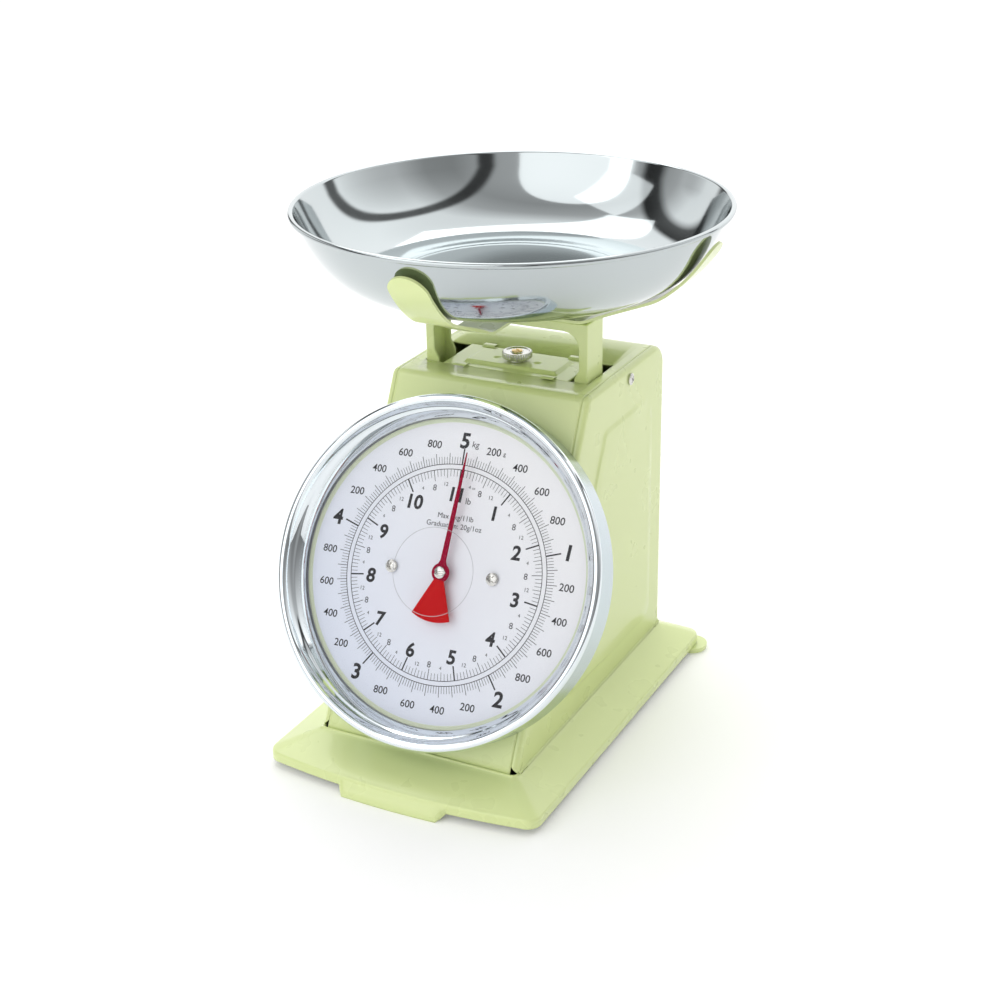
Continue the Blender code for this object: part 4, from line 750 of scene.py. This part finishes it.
# === Zero setting ===============================================================================
def build_knob():
    """Fluted rim: the outer radius waves as cos(36 a); a recessed top and a plain neck."""
    centre_y = (KNOB_LOW.y + KNOB_HIGH.y) / 2
    low, high = KNOB_LOW.z, KNOB_HIGH.z
    neck_top = low + 1.6 * MM
    a = np.linspace(0, 2 * pi, 320, endpoint=False)
    profile = [(2.2, low, 0), (5.2, low, 0), (5.2, neck_top, 0), (7.5, neck_top, 0.4),
               (8.2, neck_top + 0.45 * MM, 1), (8.2, high - 0.45 * MM, 1), (7.6, high, 0.4),
               (6.8, high, 0), (6.4, high - 0.5 * MM, 0), (3.6, high - 0.5 * MM, 0),
               (3.2, high - 0.1 * MM, 0), (2.2, high - 0.1 * MM, 0)]
    points = np.empty((len(profile), len(a), 3))
    for row, (r, z, wave) in enumerate(profile):
        ring = r * MM - 0.3 * MM * wave * (1 - np.cos(36 * a))
        points[row] = np.column_stack([ring * np.cos(a), ring * np.sin(a) + centre_y, np.full(len(a), z)])
    mesh = grid_mesh("zero_knob_fluted", points, wrap=True, wrap_rows=True)
    obj = link(mesh, NICKEL, "zero", ("zero_knob",), sharp=35.0)
    soften(obj, 0.12 * MM, 2, 40.0)
    screw_low, screw_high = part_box("zero_screw")
    place = at(0, centre_y, screw_high.z - 1.0 * MM)
    cross_head("zero_screw_slotted", 2.9 * MM, 1.0 * MM, place, BRASS, "zero",
               ("zero_screw",), recess="slot", turn=0.7, dome=0.25,
               shank=(2.0 * MM, screw_high.z - 1.0 * MM - screw_low.z))


# === Dial =======================================================================================
def build_bezel():
    """Chrome bead: a rounded crest, a step down to the lens, and a side that tapers back; the side's darker,
    bluer chrome is a painted reflection.
    """
    back, front = -DIAL_PROUD + GAP, 15.4 * MM
    crest = (DIAL_R - 2.6 * MM, front - 2.6 * MM)
    outer = np.concatenate([
        [(DIAL_R - 1.7 * MM, back), (DIAL_R - 1.0 * MM, 2 * MM)],
        arc(crest, 2.6 * MM, -8, 120, 18),
        bezier((DIAL_R - 4.6 * MM, front - 1.2 * MM), (DIAL_R - 5.6 * MM, front - 3.0 * MM),
               (DIAL_R - 6.4 * MM, 10.8 * MM), (DIAL_R - 7.7 * MM, 10 * MM), 8),
        [(DIAL_R - 8.3 * MM, 9.4 * MM), (DIAL_R - 10.6 * MM, 4.6 * MM), (DIAL_R - 11.0 * MM, 4 * MM)]])
    inner = np.array([(DIAL_R - 11.0 * MM, 3.1 * MM), (DIAL_R - 7.2 * MM, 8.9 * MM),
                      (DIAL_R - 4.6 * MM, 11.6 * MM), (DIAL_R - 3 * MM, front - 1.0 * MM),
                      (DIAL_R - 1.4 * MM, front - 2.6 * MM), (DIAL_R - 2.0 * MM, 2 * MM),
                      (DIAL_R - 2.7 * MM, back)])
    mesh = revolved("dial_bezel_bead", np.concatenate([outer, inner]), 256, DIAL)
    local = np.c_[of_faces(mesh, "center"), np.ones(len(mesh.polygons))] @ np.array(DIAL.inverted()).T
    # Painted reflection: faces low on the outer side get the darker, bluer chrome instead of a real dim
    # reflection.
    side = (local[:, 2] < 11.0 * MM) & (np.hypot(local[:, 0], local[:, 1]) > DIAL_R - 4 * MM)
    link(mesh, CHROME, "housing", ("dial_bezel",), sharp=42.0)
    mesh.materials.append(CHROME_SIDE_PAINTED_REFLECTION)
    mesh.polygons.foreach_set("material_index", side.astype(int))


def lens_height(r):
    return LENS_TOP_H - LENS_DROP * (r / LENS_R) ** 2


def build_lens():
    """Domed window: h = 14.8 - 9.8 (r / 80.3)^2 mm, with a fine moulded ring near its middle, whose grey ring
    is painted light.
    """
    r = np.concatenate([np.linspace(0, 21, 8), np.linspace(21.2, 22.4, 7), np.linspace(24, 80.3, 24)]) * MM
    top = lens_height(r) + 0.10 * MM * np.exp(-((r - 21.8 * MM) / (0.25 * MM)) ** 2)
    over = np.stack([r, top], 1)
    under = np.stack([r, lens_height(r) - 1.2 * MM], 1)[:-2]
    foot = [(LENS_R, 2.5 * MM), (LENS_R + 5 * MM, 2.5 * MM), (LENS_R + 5 * MM, 0.4 * MM),
            (LENS_R - 1.5 * MM, 0.4 * MM)]
    profile = np.concatenate([over, foot, under[::-1]])
    mesh = revolved("dial_lens_dome", profile, 192, DIAL)
    link(mesh, LENS, "housing", ("dial_lens",))
    # Painted light: a grey ring over the ridge in place of the light that the clear ridge bends.
    ring = [(MOULDED_RING_R - 0.15 * MM, 14.05 * MM), (MOULDED_RING_R, 14.12 * MM),
            (MOULDED_RING_R + 0.15 * MM, 14.05 * MM), (MOULDED_RING_R, 13.98 * MM)]
    mesh = revolved("lens_moulded_ring", ring, 192, DIAL)
    link(mesh, RING_PAINTED_LIGHT, "housing")


def flat_ring(inner, outer, height, steps=256):
    a = np.linspace(0, 2 * pi, steps, endpoint=False)
    r = np.array([inner, outer])
    points = surface(r[:, None] * np.cos(a), r[:, None] * np.sin(a), height)
    index = np.arange(2 * steps).reshape(2, steps)
    turn = np.roll(index, -1, axis=1)
    faces = np.stack([index[0], index[1], turn[1], turn[0]], -1)
    return points.reshape(-1, 3), faces


def ticks(turns, inner, outer, width):
    """Flat bars along the radii at the given angles, clockwise from the top."""
    a = pi / 2 - turns + PRINT_TURN
    radial = np.stack([np.cos(a), np.sin(a)], -1)
    across = np.stack([-np.sin(a), np.cos(a)], -1) * width / 2
    corners = [radial * inner - across, radial * outer - across, radial * outer + across,
               radial * inner + across]
    flat = np.stack(corners, 1)
    points = np.concatenate([flat, np.full(flat.shape[:2] + (1,), PRINT_H)], -1)
    return points.reshape(-1, 3), np.arange(len(a) * 4).reshape(-1, 4)


def merged(name, parts, matrix):
    """One mesh of several (points, faces) pairs."""
    mesh = bpy.data.meshes.new(name)
    points, faces, start = [], [], 0
    for part_points, part_faces in parts:
        points.append(part_points)
        faces += (part_faces + start).tolist()
        start += len(part_points)
    mesh.from_pydata(np.concatenate(points).tolist(), [], faces)
    mesh.transform(matrix)
    return mesh


def scale_marks():
    """kg marks outwards from a circle, 250 of 20 g; lb marks inwards, 176 of 1 oz."""
    parts = [flat_ring(57.6 * MM, 57.95 * MM, PRINT_H), flat_ring(55.0 * MM, 55.35 * MM, PRINT_H)]
    step = np.arange(250)
    kg = step % 50 == 0
    hundred = (step % 5 == 0) & ~kg
    plain = ~kg & ~hundred
    turn = 2 * pi * step / 250
    for which, outer, width in ((plain, 61.7, 0.22), (hundred, 63.6, 0.30), (kg, 66.2, 0.75)):
        parts.append(ticks(turn[which], 57.8 * MM, outer * MM, width * MM))
    ounce = np.arange(176)
    turn = 2 * pi * ounce / 176
    pound, half, quarter = ounce % 16 == 0, ounce % 8 == 0, ounce % 4 == 0
    for which, inner, width in ((~quarter, 51.4, 0.22), (quarter & ~half, 50.6, 0.24),
                                (half & ~pound, 49.4, 0.32), (pound, 47.6, 0.75)):
        parts.append(ticks(turn[which], inner * MM, 55.2 * MM, width * MM))
    mesh = merged("dial_scale_marks", parts, DIAL @ at(0, -0.8 * MM))
    link(mesh, INK, "housing")


def words(text, x, y, size, bold=0.0, turn=0.0, slant=0.0):
    """Flat lettering as (points, faces), centred on a place in the dial's plane."""
    curve = bpy.data.curves.new("lettering", "FONT")
    curve.body = text
    curve.size = size
    curve.align_x, curve.align_y = "CENTER", "CENTER"
    curve.offset = bold * size
    curve.resolution_u = 4
    curve.shear = slant
    obj = put_in_scene("lettering", curve)
    bpy.context.view_layer.update()
    mesh = bpy.data.meshes.new_from_object(obj.evaluated_get(bpy.context.evaluated_depsgraph_get()))
    bpy.data.objects.remove(obj)
    co = np.zeros(len(mesh.vertices) * 3)
    mesh.vertices.foreach_get("co", co)
    co = co.reshape(-1, 3)
    co[:, 0] -= (co[:, 0].min() + co[:, 0].max()) / 2
    co[:, 1] -= (co[:, 1].min() + co[:, 1].max()) / 2
    c, s = cos(turn), sin(turn)
    points = surface(c * co[:, 0] - s * co[:, 1] + x, s * co[:, 0] + c * co[:, 1] + y, PRINT_H)
    mesh.calc_loop_triangles()
    faces = np.array([t.vertices[:] for t in mesh.loop_triangles], int)
    bpy.data.meshes.remove(mesh)
    return points, faces


def numerals():
    """Upright numbers on circles, each turned only as far as the whole print is."""
    parts = []

    def put(text, share, radius, size, bold=0.0, shift=(0.0, 0.0), slant=0.0):
        a = pi / 2 - 2 * pi * share + PRINT_TURN
        x, y = radius * cos(a) + shift[0], radius * sin(a) + shift[1]
        parts.append(words(text, x, y, size, bold, PRINT_TURN, slant))

    for kg in range(1, 6):
        put(str(kg), kg / 5, 71.0 * MM, 11.2 * MM, 0.03, slant=0.08)
        for grams in (200, 400, 600, 800):
            put(str(grams), (kg - 1 + grams / 1000) / 5, 69.4 * MM, 5.6 * MM, 0.008, slant=0.06)
    put("kg", 0.0, 71.5 * MM, 4.6 * MM, 0.0, (6.6 * MM, -2.0 * MM), 0.1)
    put("g", 0.04, 69.8 * MM, 3.2 * MM, 0.0, (6.2 * MM, -1.2 * MM))
    for pounds in range(1, 12):
        put(str(pounds), pounds / 11, 42.6 * MM, 10.2 * MM, 0.03, slant=0.08)
        for ounces, size in ((4, 2.6), (8, 4.6), (12, 2.9)):
            share = (pounds - 1 + ounces / 16) / 11
            radius = (47.9 if ounces != 8 else 46.6) * MM
            put(str(ounces), share, radius, size * MM)
    put("lb", 0.0, 42.5 * MM, 4.6 * MM, 0.0, (7.4 * MM, -2.2 * MM))
    put("oz", 4 / 176, 47.9 * MM, 2.0 * MM, 0.0, (2.4 * MM, -0.4 * MM))
    put("Max 5kg/11lb", 0.0, 30.6 * MM, 3.9 * MM, 0.0, (1.6 * MM, 0.0))
    put("Graduation: 20g/1oz", 0.0, 26.0 * MM, 3.9 * MM, 0.0, (1.4 * MM, 0.0))
    mesh = merged("dial_numerals", parts, DIAL @ at(-0.4 * MM, -1.4 * MM))
    link(mesh, INK, "housing")


def build_dial():
    """White plate with its printed scales, a green-tinted rim and two recess-head screws."""
    thin = 0.8 * MM
    bore = 1.9 * MM
    profile = [(bore, -thin), (DIAL_PLATE_R, -thin), (DIAL_PLATE_R, 0.0), (bore, 0.0)]
    mesh = revolved("dial_face", profile, 192, DIAL)
    link(mesh, WHITE, "housing", ("dial_plate",))
    band = np.array([(78.9, 0.05), (79.4, 0.35), (81.2, 0.5), (81.2, 0.05)]) * MM
    mesh = revolved("dial_rim_tint", band, 192, DIAL)
    link(mesh, RIM_TINT, "housing")
    scale_marks()
    numerals()
    for side, end in SIDES:
        shifted = DIAL @ at(-1.6 * MM, 0) @ Matrix.Rotation(radians(3.8), 4, "Z")
        place = shifted @ at(side * 29.4 * MM, 0, GAP)
        cross_head(f"dial_screw_{end}_head", 3.4 * MM, 1.8 * MM, place, NICKEL, "housing",
                   (f"dial_screw_{end}",), turn=0.4 + side * 0.3, dome=0.5,
                   shank=(1.6 * MM, 7 * MM))


def build_pointer():
    """Needle, hub and tail fan: the needle's half width falls along its length."""
    hub = 5.0 * MM
    a = np.radians(np.linspace(-52, 232, 41))
    ring = np.stack([hub * np.cos(a), hub * np.sin(a)], -1)
    needle_base = np.argmin(np.abs(np.degrees(a) - 90))
    right = ring[:needle_base - 3]
    left = ring[needle_base + 4:]
    needle = np.array([(1.55, 6.6), (1.15, 34), (0.75, 50), (0.18, 63.6)]) * MM
    fan = np.radians(np.linspace(-26, 25, 19))
    tail = np.stack([POINTER_TAIL_R * np.sin(fan), -POINTER_TAIL_R * np.cos(fan)], -1)
    upper = np.concatenate([right, needle, (needle * [-1, 1])[::-1], left])
    lean = Matrix.Rotation(POINTER_LEAN, 4, "Z")

    def flat(name, outline, low, high):
        bm = bmesh.new()
        ring_verts = [bm.verts.new((x, y, low)) for x, y in outline]
        face = bm.faces.new(ring_verts)
        made = bmesh.ops.extrude_face_region(bm, geom=[face])
        lifted = [v for v in made["geom"] if isinstance(v, bmesh.types.BMVert)]
        bmesh.ops.translate(bm, verts=lifted, vec=(0, 0, high - low))
        bmesh.ops.recalc_face_normals(bm, faces=bm.faces)
        mesh = bpy.data.meshes.new(name)
        bm.to_mesh(mesh)
        bm.free()
        mesh.transform(DIAL @ lean)
        return mesh

    low, high = POINTER_H, POINTER_H + 0.8 * MM
    mesh = flat("pointer_needle", upper, low, high)
    obj = link(mesh, CRIMSON, "pointer", ("pointer",))
    soften(obj, 0.12 * MM, 2, 50.0)
    neck = np.array([(-2.6, -3.4), (2.6, -3.4)]) * MM
    outline = np.concatenate([neck[:1], tail, neck[1:]])
    mesh = flat("pointer_fan", outline, low + 0.02 * MM, high - 0.02 * MM)
    obj = link(mesh, RED, "pointer")
    soften(obj, 0.15 * MM, 2, 50.0)
    place = DIAL @ at(0, 0, high + GAP)
    cross_head("pointer_screw_slotted", 3.1 * MM, 1.5 * MM, place, NICKEL, "pointer",
               ("pointer_screw",), recess="slot", turn=-0.12, dome=0.5)


# === Carried-over nodes =========================================================================
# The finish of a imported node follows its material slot.
SLOT_FINISH = {"zinc_plate": ZINC, "bright_steel": NICKEL, "turned_brass": BRASS, "spring_steel": SPRING,
               "cream_paint": CREAM, "polished_steel": STEEL, "chrome_plate": CHROME,
               "dial_white": WHITE, "pointer_red": RED, "clear_lens": LENS}


def finish_nodes():
    """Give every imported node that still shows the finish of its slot."""
    for part in frame["record"]["subparts"]:
        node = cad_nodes[part["node"]]
        node.data.materials.clear()
        node.data.materials.append(SLOT_FINISH[part["material_slot"]])


# === Stage ======================================================================================
SURROUND_STRENGTH = 1.75
HEIGHT_STOPS = [(0.0, 0.6), (0.49, 0.6), (0.52, 0.75), (0.60, 0.80), (0.72, 0.85), (0.84, 0.9), (1.0, 0.8)]
SIDE_STOPS = [(0.0, 0.3), (0.02, 1.0), (0.05, 1.0), (0.07, 0.12), (0.11, 0.05), (0.13, 1.0), (0.74, 1.0),
              (0.76, 0.12), (0.80, 0.12), (0.815, 1.0), (0.84, 0.9), (1.0, 0.4)]
DEPTH_STOPS = [(0.0, 0.42), (0.30, 0.30), (0.42, 0.42), (0.56, 0.85), (1.0, 1.0)]


def softbox(name, place, target, size, power):
    light = bpy.data.lights.new(name, "AREA")
    light.shape = "RECTANGLE"
    light.size, light.size_y = size
    light.energy = power
    obj = put_in_scene(name, light)
    obj.location = place
    obj.rotation_euler = (Vector(target) - Vector(place)).to_track_quat("-Z", "Y").to_euler()


def build_world():
    """Studio surroundings by direction: a height ramp, darkened by upright flags at the sides.

    The flags are bands in the direction's X share, so that metal shows dark and bright stripes.
    """
    world = bpy.data.worlds.new("studio")
    bpy.context.scene.world = world
    world.use_nodes = True
    nodes, links = world.node_tree.nodes, world.node_tree.links
    back = nodes["Background"]
    place = nodes.new("ShaderNodeTexCoord")
    split = nodes.new("ShaderNodeSeparateXYZ")
    links.new(place.outputs["Generated"], split.inputs["Vector"])
    ramps = []
    for axis, stops in (("Z", HEIGHT_STOPS), ("X", SIDE_STOPS), ("Y", DEPTH_STOPS)):
        share = nodes.new("ShaderNodeMapRange")
        share.inputs["From Min"].default_value = -1.0
        links.new(split.outputs[axis], share.inputs["Value"])
        ramp = nodes.new("ShaderNodeValToRGB")
        links.new(share.outputs["Result"], ramp.inputs["Fac"])
        colours = ramp.color_ramp
        colours.elements[0].position, colours.elements[1].position = stops[0][0], stops[-1][0]
        for position, _ in stops[1:-1]:
            colours.elements.new(position)
        for element, (_, value) in zip(colours.elements, stops):
            element.color = (value, value, value, 1.0)
        ramps.append(ramp)
    result = ramps[0].outputs["Color"]
    for ramp in ramps[1:]:
        blend = nodes.new("ShaderNodeMix")
        blend.data_type = "RGBA"
        blend.blend_type = "MULTIPLY"
        blend.inputs["Factor"].default_value = 1.0
        links.new(result, blend.inputs["A"])
        links.new(ramp.outputs["Color"], blend.inputs["B"])
        result = blend.outputs["Result"]
    links.new(result, back.inputs["Color"])
    back.inputs["Strength"].default_value = SURROUND_STRENGTH


def build_stage():
    """A wide pale floor with a faint glow, two softboxes and a soft sun from the front left."""
    mesh = bpy.data.meshes.new("floor")
    reach = 12.0
    mesh.from_pydata([(-reach, -reach, 0), (reach, -reach, 0), (reach, reach, 0), (-reach, reach, 0)],
                     [], [(0, 1, 2, 3)])
    mesh.materials.append(FLOOR)
    glow = FLOOR.node_tree.nodes["Principled BSDF"]
    glow.inputs["Emission Color"].default_value = (1, 1, 1, 1)
    glow.inputs["Emission Strength"].default_value = 0.12
    put_in_scene("floor", mesh)
    target = (0, -0.02, 0.12)
    softbox("key_light", (-1.3, -1.0, 1.7), target, (1.2, 1.2), 4)
    softbox("back_light", (-0.9, 0.75, 2.0), target, (2.2, 1.0), 9)
    sun = bpy.data.lights.new("soft_sun", "SUN")
    sun.energy, sun.angle = 0.85, radians(60)
    direction = Vector((0.2, 0.8, -0.5))
    put_in_scene("soft_sun", sun).rotation_euler = direction.to_track_quat("-Z", "Y").to_euler()
    build_world()


def build_camera():
    place = Vector((412.708, -798.905, 515.631)) * MM
    target = Vector((0, -25, 123.5)) * MM
    data = bpy.data.cameras.new("camera")
    data.lens, data.sensor_width = 64.93, 36.0
    data.shift_x, data.shift_y = 0.0208, 0.0118
    data.clip_start, data.clip_end = 0.05, 20.0
    camera = put_in_scene("camera", data)
    camera.location = place
    aim = (target - place).to_track_quat("-Z", "Y").to_matrix().to_4x4()
    camera.rotation_euler = (aim @ Matrix.Rotation(radians(-1.3), 4, "Z")).to_euler()
    bpy.context.scene.camera = camera


def main():
    for build in (finish_nodes, build_base, build_cover, build_side_panels, build_side_screws,
                  build_hanger_plate, build_bowl, build_bracket, build_yoke, build_knob, build_bezel,
                  build_lens, build_dial, build_pointer, build_camera, build_stage):
        build()
    bpy.context.scene.view_settings.view_transform = "Standard"


main()
